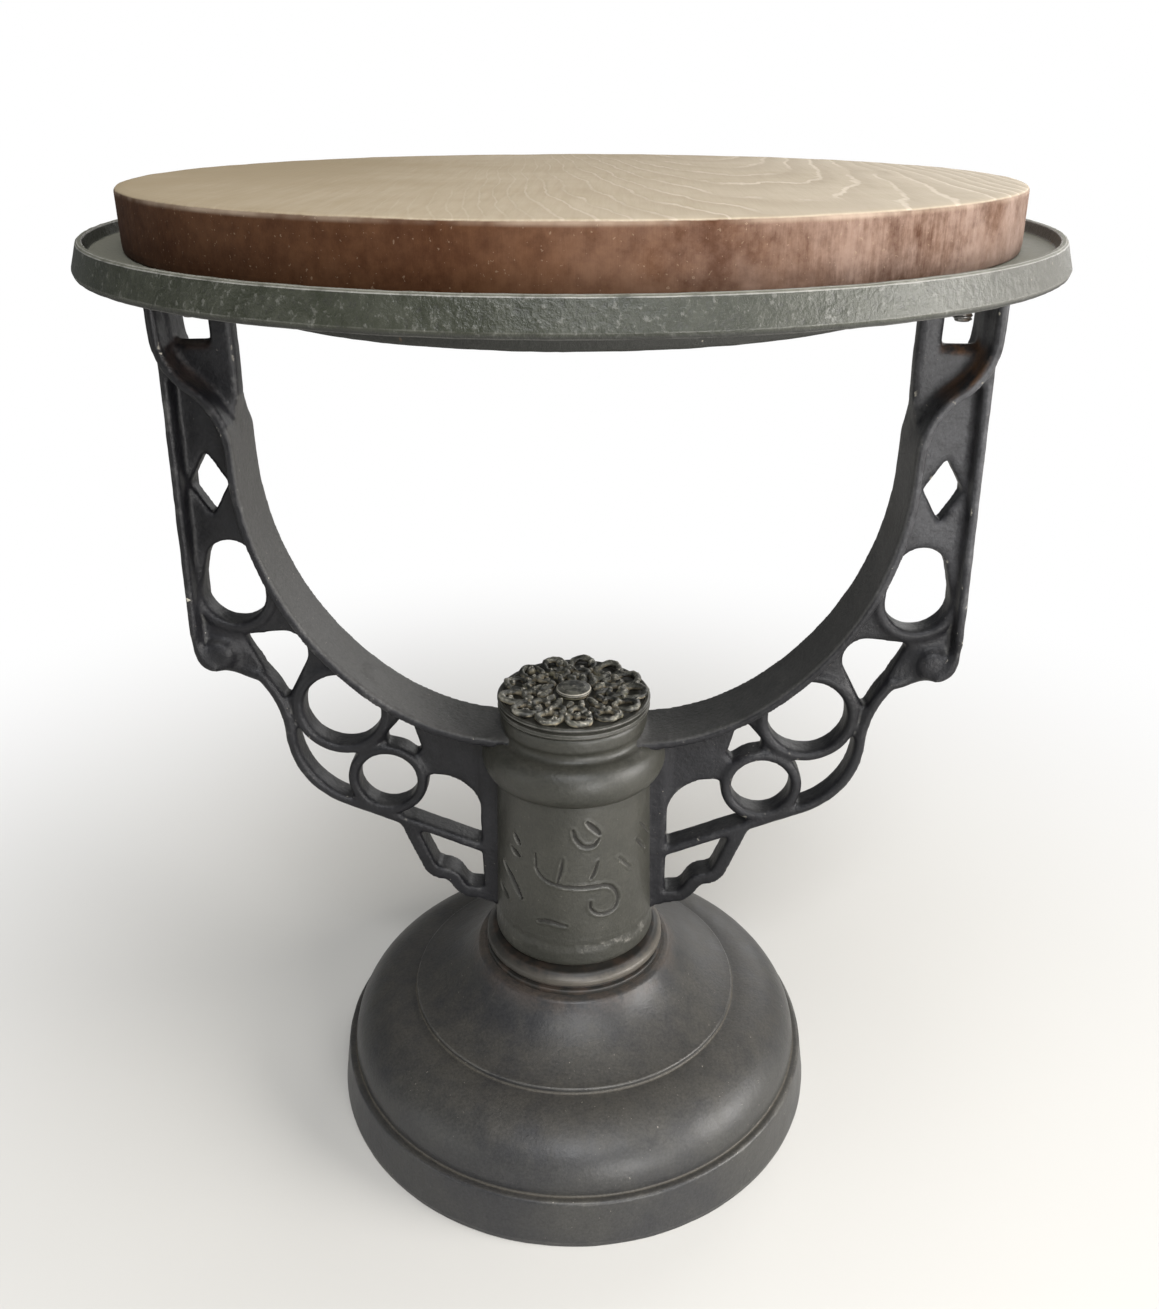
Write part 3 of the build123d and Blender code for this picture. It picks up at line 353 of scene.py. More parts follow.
def stained_board():
    """Stained plank: taupe worn top with cathedral figure, red-brown sawn edge, both painted lighter towards
    the right and darker towards the left as light and shade.
    """
    f = Finish("stained seat wood")
    wander = f.noise(6.0, 3.0, 0.5, f.stretched(1.0, 0.4, 1.0))
    ripple = f.noise(44.0, 4.0, 0.6, f.stretched(1.0, 0.25, 1.0))
    lean = 0.12 * f.y * f.step(f.x, -20 * MM, 120 * MM)
    away = f.x - 70 * MM + lean + (wander - 0.5) * (60 * MM)
    figure = away * away * 9.0 - f.y * 0.17 + (ripple - 0.5) * 0.014
    ring = f.node("Math", {0: figure * 105.0}, operation="FRACT")
    late = f.band(ring, 0.0, 0.6, 0.7, 1.0)
    shown = 0.12 + 0.88 * f.step(f.x + (wander - 0.5) * 0.2, -80 * MM, 60 * MM)
    fibre = f.noise(420.0, 5.0, 0.65, f.stretched(1.0, 0.05, 1.0))
    blotch = f.noise(8.0, 4.0, 0.6)
    # Tone of the top from blotches and fibre, with painted light: lighter towards the right, where the light
    # comes from
    tone_and_painted_light = f.step(blotch * 0.5 + fibre * 0.25 + f.x * 1.2, 0.15, 0.6)
    taupe = f.tint(tone_and_painted_light, shade(0.32, 0.255, 0.165), shade(0.475, 0.405, 0.31))
    taupe = f.tint((1 - late) * shown * 0.22, taupe, shade(0.28, 0.215, 0.15))
    pale = f.band(ring, 0.8, 0.88, 0.93, 1.0) * shown * f.step(ripple, 0.34, 0.58)
    taupe = f.tint(pale * 0.5, taupe, shade(0.68, 0.6, 0.49))
    saw = f.noise(1.0, 4.0, 0.7, f.stretched(520.0, 520.0, 60.0))
    streak = f.noise(20.0, 4.0, 0.6)
    right_part = f.step(f.x, -30 * MM, 150 * MM)
    sawn = f.step(f.noise(9.0, 2.0, 0.5) + right_part * 0.08, 0.52, 0.64)
    fine = f.noise(210.0, 5.0, 0.7)
    edge_tone = f.step(streak * 0.55 + fine * 0.45 + (saw - 0.5) * (0.04 + 0.3 * sawn), 0.32, 0.68)
    reddish = f.tint(edge_tone, shade(0.046, 0.014, 0.003), shade(0.1, 0.041, 0.015))
    scuffs = f.noise(42.0, 4.0, 0.65)
    scuffed = f.step(streak * 0.5 + fine * 0.25 + scuffs * 0.35 + (saw - 0.5) * 0.25 * sawn, 0.36, 0.74)
    # Pale scuffs, real wear, kept mostly to the right as painted light from the right
    reddish = f.tint(scuffed * (0.03 + 0.65 * right_part), reddish, shade(0.37, 0.285, 0.24))
    # Painted shade: the edge darker towards the left, away from the light
    reddish = f.scaled(reddish, 0.62 + 0.38 * f.step(f.x, -120 * MM, 60 * MM))
    speck = f.step(f.noise(820.0, 2.0, 0.5), 0.68, 0.72)
    reddish = f.tint(speck * 0.25, reddish, shade(0.34, 0.25, 0.17))
    upward = f.step(f.facing_up() + (fibre - 0.5) * 0.25, 0.45, 0.9)
    colour = f.tint(upward, reddish, taupe)
    arris = f.step(f.z, BOARD_TOP - 2.4 * MM, BOARD_TOP - 1.0 * MM) * (1 - upward)
    colour = f.tint(arris * f.step(streak, 0.35, 0.65) * 0.5, colour, shade(0.42, 0.34, 0.26))
    roughness = 0.6 + 0.2 * fibre
    top_relief = late * 0.5 * shown + fibre * 0.6
    side_relief = saw * 0.5 + streak * 0.4 + speck * 0.2
    normal = f.bump(top_relief * upward + side_relief * (1 - upward), 0.22 * MM)
    return f.surface(colour, roughness, normal, **{"Specular IOR Level": 0.14})


def rounded(points, steps=6):
    """Outline points (r, z, corner radius), with each corner turned into an arc."""
    line = []
    count = len(points)
    for i, (r, z, radius) in enumerate(points):
        here = Vector((r, z))
        if radius == 0:
            line.append(here)
            continue
        back = Vector(points[i - 1][:2]) - here
        ahead = Vector(points[(i + 1) % count][:2]) - here
        half = back.angle(ahead) / 2
        reach = min(radius / math.tan(half), 0.49 * back.length, 0.49 * ahead.length)
        start = here + back.normalized() * reach
        end = here + ahead.normalized() * reach
        for k in range(steps + 1):
            t = k / steps
            line.append(start * (1 - t) ** 2 + here * (2 * t * (1 - t)) + end * t ** 2)
    return line


def dense(line, spacing, closed=True):
    """The outline with its long runs cut into short steps."""
    out = []
    ends = line[1:] + line[:1] if closed else line[1:]
    for a, b in zip(line, ends):
        parts = max(1, math.ceil((b - a).length / spacing))
        out += [a.lerp(b, k / parts) for k in range(parts)]
    if not closed:
        out.append(line[-1])
    return out


def mesh_piece(name, points, faces, finish):
    mesh = bpy.data.meshes.new(name)
    mesh.from_pydata([tuple(p) for p in points], [], faces)
    mesh.validate()
    piece = bpy.data.objects.new(name, mesh)
    bpy.context.scene.collection.objects.link(piece)
    mesh.materials.append(finish)
    mesh.shade_smooth()
    return piece


def outward(piece):
    """Merged doubles, and faces turned outward."""
    work = bmesh.new()
    work.from_mesh(piece.data)
    bmesh.ops.remove_doubles(work, verts=work.verts, dist=0.002 * MM)
    bmesh.ops.recalc_face_normals(work, faces=work.faces)
    work.to_mesh(piece.data)
    work.free()
    piece.data.shade_smooth()
    return piece


def ring_faces(segments, rows, start=0, closed=True):
    """Quads between neighbouring copies of a line of points that goes around an axis."""
    faces = []
    for k in range(segments):
        here, ahead = start + k * rows, start + (k + 1) % segments * rows
        for j in range(rows if closed else rows - 1):
            after = (j + 1) % rows
            faces.append((here + j, ahead + j, ahead + after, here + after))
    return faces


def turned(name, line, finish, segments):
    """A piece turned about the spindle from a closed outline of (r, z)."""
    angles = [2 * math.pi * k / segments for k in range(segments)]
    points = [(p.x * math.cos(a), p.x * math.sin(a), p.y) for a in angles for p in line]
    return outward(mesh_piece(name, points, ring_faces(segments, len(line)), finish))


def read_points(mesh):
    flat = np.empty(len(mesh.vertices) * 3)
    mesh.vertices.foreach_get("co", flat)
    return flat.reshape(-1, 3)


def read_normals(mesh):
    flat = np.empty(len(mesh.vertices) * 3)
    mesh.vertex_normals.foreach_get("vector", flat)
    return flat.reshape(-1, 3)


def uneven(piece, amount, size, seed):
    """Slight cast unevenness along the normals, nowhere below the floor."""
    mesh = piece.data
    points = read_points(mesh)
    start = Vector((seed, 0, 0))
    shift = np.array([
        noise.fractal(Vector(p) / size + start, CAST_FADE, CAST_STEP, CAST_LAYERS) for p in points
    ])
    points += read_normals(mesh) * (shift * amount)[:, None]
    points[:, 2] = np.maximum(points[:, 2], 0)
    mesh.vertices.foreach_set("co", points.ravel())
    mesh.update()


def neighbours(mesh):
    """Both ends of every edge, and how many edges meet at each point."""
    ends = np.empty(len(mesh.edges) * 2, dtype=np.int64)
    mesh.edges.foreach_get("vertices", ends)
    a, b = ends.reshape(-1, 2).T
    return a, b, np.maximum(np.bincount(ends, minlength=len(mesh.vertices)), 1)


def neighbour_mean(values, a, b, count):
    total = np.bincount(a, values[b], len(values)) + np.bincount(b, values[a], len(values))
    return total / count


def mark_edges(piece, sharp=2.2 * MM, spread=2, soiling_and_painted_light=0.0):
    """Stores how convex and how hollow the surface is at each point, for wear and for dust; the given floor
    also marks places for painted light and shade, with soiling and dust.
    """
    mesh = piece.data
    points = read_points(mesh)
    normals = read_normals(mesh)
    a, b, count = neighbours(mesh)
    along = points[b] - points[a]
    length = np.maximum((along ** 2).sum(1), 1e-12)
    bend_a = -(normals[a] * along).sum(1) / length
    bend_b = (normals[b] * along).sum(1) / length
    curve = np.bincount(a, bend_a, len(points)) + np.bincount(b, bend_b, len(points))
    curve *= 2 * sharp / count
    for _ in range(spread):
        curve = (curve + neighbour_mean(curve, a, b, count)) / 2
    for name, value in (("edge", curve), ("hollow", np.maximum(-curve, soiling_and_painted_light))):
        mark = mesh.attributes.new(name, "FLOAT", "POINT")
        mark.data.foreach_set("value", np.clip(value, 0, 1).astype(np.float32))


def evaluated(piece):
    """The piece with its modifiers applied and removed."""
    mesh = bpy.data.meshes.new_from_object(piece.evaluated_get(bpy.context.evaluated_depsgraph_get()))
    old = piece.data
    piece.modifiers.clear()
    piece.data = mesh
    bpy.data.meshes.remove(old)
    return piece


def settle(piece, body, slot, *nodes):
    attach(piece, body)
    if nodes:
        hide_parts(*nodes)


# Finishes
arm_paint = painted_iron(
    "arm black paint", dark=(0.004, 0.004, 0.005), light=(0.012, 0.012, 0.014), gloss=0.36,
    dust=(0.088, 0.086, 0.081), worn=(0.12, 0.117, 0.113), wear=0.42, rust=shelf_rust,
    chips=0.9, shine=0.28, painted_sheen=right_arm_sheen,
)
hub_paint = painted_iron(
    "hub charcoal paint", dark=(0.019, 0.019, 0.0145), light=(0.034, 0.033, 0.026), gloss=0.38,
    dust=(0.07, 0.066, 0.054), worn=(0.17, 0.165, 0.15), wear=0.4, rust=band_scuffs,
    rust_colour=(0.12, 0.114, 0.1), grain=0.24, soiling_and_painted_light=0.9,
)
base_paint = painted_iron(
    "base charcoal paint", dark=(0.025, 0.025, 0.0265), light=(0.039, 0.038, 0.035), gloss=0.34,
    dust=(0.075, 0.066, 0.051), worn=(0.13, 0.124, 0.112), wear=0.28, rust=foot_brown,
    grain=0.18, shine=0.36,
)
graphite = pan_iron()
rubbed_bead = ring_iron()
ornament_dust = dusty_ornament()
steel = plain_steel()
board_wood = stained_board()


# Base: skirt, step, bulge, lip, cove and the hollow underneath
def make_base():
    skirt_top, skirt_r = 25.7 * MM, 122.8 * MM
    bulge_r, lip_r, land_r = 119.0 * MM, 84.5 * MM, 50.0 * MM
    cove_rise = 23.5 * MM
    recess_r, recess = 15.5 * MM, 2.0 * MM
    bore_r, boss_r, boss_low = 11.1 * MM, 24.0 * MM, 28.0 * MM
    lip_z = BASE_TOP - cove_rise
    bulge_low, bulge_high = skirt_top + 1.0 * MM, lip_z - 3.0 * MM
    arc_steps = 24
    turns = [math.pi / 2 * k / arc_steps for k in range(arc_steps + 1)]

    def quarter(wall):
        width, height = bulge_r - lip_r - wall, bulge_high - bulge_low - wall
        return [(lip_r + width * math.cos(t), bulge_low + height * math.sin(t), 0) for t in turns]

    def cove(start, middle, end):
        a, m, b = Vector(start), Vector(middle), Vector(end)
        pull = 2 * m - (a + b) / 2
        ts = [k / arc_steps for k in range(arc_steps + 1)]
        return [(*(a * (1 - t) ** 2 + pull * (2 * t * (1 - t)) + b * t ** 2), 0) for t in ts]

    middle = (land_r + 0.38 * (lip_r - land_r), BASE_TOP - 0.58 * cove_rise)
    roof = BASE_TOP - 2 * BASE_WALL
    points = [
        (BASE_R - BASE_WALL, 0, 0.8 * MM), (BASE_R - 0.2 * MM, 0, 1.2 * MM),
        (BASE_R, 3.0 * MM, 1.0 * MM), (skirt_r, skirt_top, 2.2 * MM),
        (bulge_r - 0.3 * MM, skirt_top - 0.4 * MM, 0.9 * MM),
        *quarter(0)[1:-1],
        (lip_r + 0.2 * MM, bulge_high + 0.2 * MM, 1.2 * MM), (lip_r + 0.4 * MM, lip_z, 1.2 * MM),
        *cove((lip_r - 1.5 * MM, lip_z + 0.3 * MM), middle, (land_r + 0.6 * MM, BASE_TOP - 0.4 * MM)),
        (land_r - 2.0 * MM, BASE_TOP, 1.2 * MM), (recess_r, BASE_TOP, 0),
        (recess_r, BASE_TOP - recess, 0), (bore_r, BASE_TOP - recess, 0),
        (bore_r, boss_low, 0), (boss_r, boss_low, 1.0 * MM), (boss_r, roof, 3.0 * MM),
        *cove((land_r - BASE_WALL, roof), (middle[0] - BASE_WALL / 2, middle[1] - BASE_WALL),
              (lip_r, bulge_high - BASE_WALL)),
        *reversed(quarter(BASE_WALL)[:-1]),
    ]
    base = turned("bell_base", dense(rounded(points), spacing=2.4 * MM), base_paint, segments=372)
    uneven(base, amount=0.14 * MM, size=18 * MM, seed=3.0)
    mark_edges(base)
    settle(base, "stand", "black_iron", "base_casting")


def make_bead():
    """Thin step ring on the base, and over it the bead that the hub runs on."""
    bore_r = 15.2 * MM
    points = [
        (bore_r, BASE_TOP, 0), (46.3 * MM, BASE_TOP, 0.2 * MM), (46.3 * MM, BASE_TOP + 2.4 * MM, 1.0 * MM),
        (43.9 * MM, BASE_TOP + 2.9 * MM, 0.5 * MM), (44.3 * MM, BASE_TOP + 3.6 * MM, 0.5 * MM),
        (46.2 * MM, BASE_TOP + 5.0 * MM, 2.0 * MM), (46.0 * MM, BASE_TOP + 8.0 * MM, 2.4 * MM),
        (42.6 * MM, RING_TOP, 2.4 * MM), (bore_r, RING_TOP, 0),
    ]
    bead = turned("rubbed_bead", dense(rounded(points, steps=8), spacing=2.0 * MM), rubbed_bead, segments=320)
    uneven(bead, amount=0.12 * MM, size=8 * MM, seed=5.0)
    mark_edges(bead)
    settle(bead, "stand", "rubbed_iron", "thrust_ring")


# Hub: carved sleeve, collar and neck, in one turned casting
COLLAR_FOOT = HUB_TOP - 34.0 * MM
NECK_FOOT = HUB_TOP - 13.0 * MM
BAND_R, SLEEVE_LOW_R, SLEEVE_TOP_R = 40.8 * MM, 40.1 * MM, 38.0 * MM
COLLAR_R, NECK_R = 45.0 * MM, 34.4 * MM

# Carving: half width and depth in mm, then points of degrees from the front and height over the floor in mm
CARVING = [
    (2.2, 2.6, [(-59, 142.3), (-51.9, 138.7), (-45.1, 133.6), (-39.1, 128.6)]),
    (1.8, 2.2, [(-49.7, 154.9), (-45.2, 153.6), (-41, 152.8)]),
    (1.6, 2.0, [(-45.8, 163.8), (-40.7, 159.8)]),
    (1.9, 2.2, [(-66.3, 126.9), (-54.3, 123.2)]),
    (1.2, 1.0, [(1.4, 173.9), (3.5, 168.8), (9, 164.7), (15.9, 164.7), (20.1, 168.1)]),
    (1.6, 1.0, [(11.6, 177.9), (16.5, 174.1), (20.8, 170.8)]),
    (0.9, 0.8, [(-5.9, 157.3), (-7.3, 150.8), (-9.8, 143.7)]),
    (0.9, 0.8, [(19.2, 155.2), (16.4, 149.2), (14, 146)]),
    (1.1, 1.0, [
        (-26.7, 158), (-26.1, 151.3), (-23.8, 147.2), (-17.7, 143.7), (-7.6, 142.1), (3.5, 141.4),
        (14.7, 141.3), (23.5, 140.9), (30.6, 138.2), (34.9, 131.9), (32.5, 126), (25.3, 124.1),
        (17.8, 125.5), (13.7, 129), (13.7, 132.5),
    ]),
    (1.3, 1.2, [(-24.4, 119.1), (-16.6, 120.1), (-3.5, 118.6)]),
    (0.9, 0.5, [(36, 154.5), (47.6, 145)]),
    (1.1, 0.9, [(53.6, 159.1), (65.7, 149.6)]),
    (1.1, 0.9, [(58.1, 167.8), (73.7, 155.5)]),
]


def smooth_path(points, parts=10):
    """A flowing line through the points."""
    pts = [np.array(p, float) for p in points]
    pts = [2 * pts[0] - pts[1]] + pts + [2 * pts[-1] - pts[-2]]
    line = []
    for p0, p1, p2, p3 in zip(pts, pts[1:], pts[2:], pts[3:]):
        for k in range(parts):
            t = k / parts
            line.append(
                0.5 * (2 * p1 + (p2 - p0) * t + (2 * p0 - 5 * p1 + 4 * p2 - p3) * t ** 2
                       + (3 * p1 - p0 - 3 * p2 + p3) * t ** 3)
            )
    line.append(pts[-2])
    return np.array(line)


def carved_depth(degrees, heights):
    """Depth of the carving in mm over a grid of angles and heights, with a raised lip beside each cut."""
    radius, reach = 39.0, 4.0
    lip_height, lip_offset, lip_width = 0.28, 0.5, 0.7
    depth = np.zeros_like(degrees)
    lips = np.zeros_like(degrees)
    across = np.radians(degrees) * radius
    for half, deep, points in CARVING:
        line = smooth_path(points)
        x, z = np.radians(line[:, 0]) * radius, line[:, 1]
        near = (across > x.min() - reach) & (across < x.max() + reach)
        near &= (heights > z.min() - reach) & (heights < z.max() + reach)
        gap = np.hypot(across[near][:, None] - x, heights[near][:, None] - z)
        along = np.clip((gap.argmin(1) + 0.5) / len(x), 0, 1)
        gap = gap.min(1)
        width = half * (0.35 + 0.65 * np.sqrt(np.sin(np.pi * along)))
        cut = deep * np.clip(1 - (gap / width) ** 2, 0, 1)
        depth[near] = np.maximum(depth[near], cut)
        lip = lip_height * np.exp(-(((gap - width - lip_offset) / lip_width) ** 2))
        lips[near] = np.maximum(lips[near], lip)
    return depth - lips * (depth < 0.05)


def hub_outline():
    """Radius and height along the hub's outside, without the carving."""
    sleeve_steps, collar_steps = 130, 20
    sleeve_low, sleeve_high = HUB_LOW + 12.5 * MM, COLLAR_FOOT - 0.8 * MM
    line = [
        (BAND_R - 1.2 * MM, HUB_LOW), (BAND_R - 0.3 * MM, HUB_LOW + 0.5 * MM), (BAND_R, HUB_LOW + 1.4 * MM),
        (BAND_R, HUB_LOW + 9.0 * MM), (SLEEVE_LOW_R, sleeve_low),
    ]
    for k in range(1, sleeve_steps + 1):
        t = k / sleeve_steps
        r = SLEEVE_LOW_R + (SLEEVE_TOP_R - SLEEVE_LOW_R) * t
        line.append((r, sleeve_low + (sleeve_high - sleeve_low) * t))
    line.append((SLEEVE_TOP_R - 0.3 * MM, COLLAR_FOOT))
    for k in range(1, collar_steps):
        turn = math.pi * k / collar_steps
        swell = math.sin(turn) ** 0.85
        t = (1 - math.cos(turn)) / 2
        foot_r = SLEEVE_TOP_R + (NECK_R + 1.8 * MM - SLEEVE_TOP_R) * t
        line.append((foot_r + (COLLAR_R - foot_r) * swell, COLLAR_FOOT + (NECK_FOOT - COLLAR_FOOT) * t))
    line += [
        (NECK_R + 1.6 * MM, NECK_FOOT), (NECK_R + 0.6 * MM, NECK_FOOT + 0.8 * MM),
        (NECK_R, NECK_FOOT + 2.0 * MM), (NECK_R, NECK_FOOT + 4.2 * MM),
        (NECK_R + 0.4 * MM, NECK_FOOT + 4.9 * MM), (NECK_R + 1.0 * MM, NECK_FOOT + 5.8 * MM),
        (NECK_R + 1.1 * MM, HUB_TOP - 2.4 * MM), (NECK_R + 0.9 * MM, HUB_TOP - 1.1 * MM),
        (NECK_R + 0.1 * MM, HUB_TOP - 0.2 * MM), (NECK_R - 1.0 * MM, HUB_TOP),
    ]
    return line


def make_hub():
    """The carved hub, its front and back alike, with a ragged upper edge on its foot band."""
    segments = 408
    band_top, band_wave, band_fade = 9.5, 1.8, 1.4 * MM
    wave_fade, wave_step, wave_layers = 0.7, 2.0, 4
    full_dark_fill = 0.7
    outline = dense([Vector(p) for p in hub_outline()], 2.0 * MM, closed=False)
    radius = np.array([p.x for p in outline])
    height = np.array([p.y for p in outline])
    angle = np.arange(segments) * 2 * np.pi / segments
    degrees = np.degrees(angle)
    front = (degrees + 180) % 360 - 180
    face = np.where(np.abs(front) < 90, front, degrees - 180)
    grid_deg, grid_z = np.meshgrid(face, height / MM, indexing="ij")
    in_sleeve = (grid_z > HUB_LOW / MM + 13) & (grid_z < COLLAR_FOOT / MM - 1)
    rows = np.tile(radius, (segments, 1))
    rows -= np.where(in_sleeve, carved_depth(grid_deg, grid_z), 0) * MM
    circle = [Vector((math.cos(a) * 3, math.sin(a) * 3, 1.0)) for a in angle]
    ragged = np.array([noise.fractal(place, wave_fade, wave_step, wave_layers) for place in circle])
    band_edge = HUB_LOW + (band_top + band_wave * ragged) * MM
    fade = np.clip((height[None, :] - band_edge[:, None]) / band_fade, 0, 1)
    fade = fade * fade * (3 - 2 * fade)
    in_band = (height > HUB_LOW + 2 * MM) & (height < HUB_LOW + 16 * MM)
    rows[:, in_band] = (BAND_R + (SLEEVE_LOW_R - BAND_R) * fade)[:, in_band]
    around = np.stack([np.sin(angle), -np.cos(angle)], 1)
    skin = np.concatenate([rows[:, :, None] * around[:, None], np.tile(height, (segments, 1))[:, :, None]], 2)
    core_top = np.column_stack([HUB_CORE * around, np.full(segments, height[-1])])
    core_low = np.column_stack([HUB_CORE * around, np.full(segments, height[0])])
    grid = np.concatenate([skin, core_top[:, None], core_low[:, None]], 1)
    faces = ring_faces(segments, grid.shape[1])
    hub = outward(mesh_piece("carved_hub", grid.reshape(-1, 3), faces, hub_paint))
    uneven(hub, amount=0.12 * MM, size=14 * MM, seed=8.0)
    points = read_points(hub.data)
    turn = np.degrees(np.arctan2(points[:, 0], -points[:, 1]))
    turn = np.where(np.abs(turn) < 90, turn, turn - np.sign(turn) * 180)
    # The cut depth marks the cuts for their dark fill: grimy soiling and painted shade
    cuts = carved_depth(turn, points[:, 2] / MM)
    outer = np.hypot(points[:, 0], points[:, 1]) > HUB_CORE + 2 * MM
    mark_edges(hub, sharp=1.4 * MM, spread=1, soiling_and_painted_light=np.where(outer, cuts / full_dark_fill, 0))
    settle(hub, "swivel", "black_iron")


def hub_radius(z):
    radii, heights = zip(*hub_outline())
    return np.interp(z, heights, radii)


def make_arm(side, name):
    """One pierced arm: the solid cut off inside the hub, its edges cast round, its lug softened."""
    piece = bpy.data.objects.new(name, NODES["yoke_casting"].data.copy())
    bpy.context.scene.collection.objects.link(piece)
    work = bmesh.new()
    work.from_mesh(piece.data)
    bmesh.ops.remove_doubles(work, verts=work.verts, dist=0.01 * MM)
    cut = bmesh.ops.bisect_plane(
        work, geom=work.verts[:] + work.edges[:] + work.faces[:], plane_co=(side * ARM_CUT, 0, 0),
        plane_no=(-side, 0, 0), clear_outer=True,
    )
    rim = [e for e in cut["geom_cut"] if isinstance(e, bmesh.types.BMEdge)]
    bmesh.ops.triangle_fill(work, edges=rim, use_beauty=True)
    bmesh.ops.recalc_face_normals(work, faces=work.faces)
    work.to_mesh(piece.data)
    work.free()
    remesh = piece.modifiers.new("cast", "REMESH")
    remesh.mode = "VOXEL"
    remesh.voxel_size = ARM_VOXEL
    round_off = piece.modifiers.new("round", "SMOOTH")
    round_off.factor = 0.5
    round_off.iterations = ARM_SMOOTHING
    evaluated(piece)
    mesh = piece.data
    points = read_points(mesh)
    reach = np.hypot(points[:, 0], points[:, 1])
    inside = (reach < hub_radius(points[:, 2]) + 0.9 * MM) & (points[:, 2] < HUB_TOP + 1 * MM)
    pull = np.where(inside, np.clip((reach - 1.9 * MM) / reach, 0, 1), 1)
    points += read_normals(mesh) * ARM_REGAIN
    from_lug = np.hypot(points[:, 0] - side * LUG_X, points[:, 2] - LUG_Z)
    share = np.clip((LUG_SOFT - from_lug) / LUG_FADE, 0, 1)[:, None]
    links = neighbours(mesh)
    for _ in range(LUG_PASSES):
        mean = np.stack([neighbour_mean(axis, *links) for axis in points.T], 1)
        points += (mean - points) * share * 0.5
    points[:, :2] *= pull[:, None]
    mesh.vertices.foreach_set("co", points.ravel())
    mesh.materials.clear()
    mesh.materials.append(arm_paint)
    mesh.update()
    uneven(piece, amount=0.16 * MM, size=12 * MM, seed=11.0 + side)
    points = read_points(mesh)
    # The U's inner face is marked for dust that also paints light on it: a paler inner face
    inward = np.stack([side * U_CENTRE_X - points[:, 0], U_CENTRE_Z - points[:, 2]], 1)
    away = np.hypot(*inward.T)
    facing = (read_normals(mesh)[:, [0, 2]] * inward).sum(1) / away
    in_u = (away < U_RADIUS + 2.5 * MM) & (points[:, 2] < U_CENTRE_Z + DUST_AND_LIGHT_IN_U)
    mark_edges(piece, sharp=1.8 * MM, spread=2, soiling_and_painted_light=np.where(in_u, np.clip(facing, 0, 1), 0))
    mesh.shade_smooth()
    return piece


def make_arms():
    right = make_arm(1, "right_scroll_arm")
    left = make_arm(-1, "left_scroll_arm")
    settle(left, "swivel", "black_iron")
    settle(right, "swivel", "black_iron", "yoke_casting")


# Cap, rosette and button over the hub's mouth
def make_cap():
    side, hole_r = CAP_R, 3.0 * MM
    foot = CAP_LOW + 2.3 * MM
    points = [
        (hole_r, foot, 0), (side - 0.6 * MM, foot, 0.6 * MM), (side - 0.1 * MM, foot + 1.0 * MM, 0.5 * MM),
        (side - 0.4 * MM, CAP_TOP - 2.9 * MM, 0.3 * MM), (side - 2.0 * MM, CAP_TOP - 2.4 * MM, 0.3 * MM),
        (side - 1.8 * MM, CAP_TOP - 1.6 * MM, 0.3 * MM), (side - 0.3 * MM, CAP_TOP - 1.2 * MM, 0.4 * MM),
        (side + 0.1 * MM, CAP_TOP - 0.3 * MM, 0.6 * MM),
        (side - 0.8 * MM, CAP_TOP + 0.6 * MM, 0.8 * MM), (side - 2.4 * MM, CAP_TOP + 0.4 * MM, 0.7 * MM),
        (side - 2.9 * MM, CAP_TOP - 0.8 * MM, 0.4 * MM), (hole_r, CAP_TOP - 0.8 * MM, 0),
    ]
    cap = turned("cap_cover", dense(rounded(points), spacing=2.0 * MM), hub_paint, segments=300)
    uneven(cap, amount=0.06 * MM, size=8 * MM, seed=21.0)
    mark_edges(cap, sharp=1.2 * MM, spread=1)
    settle(cap, "stand", "black_iron", "cap_plate")


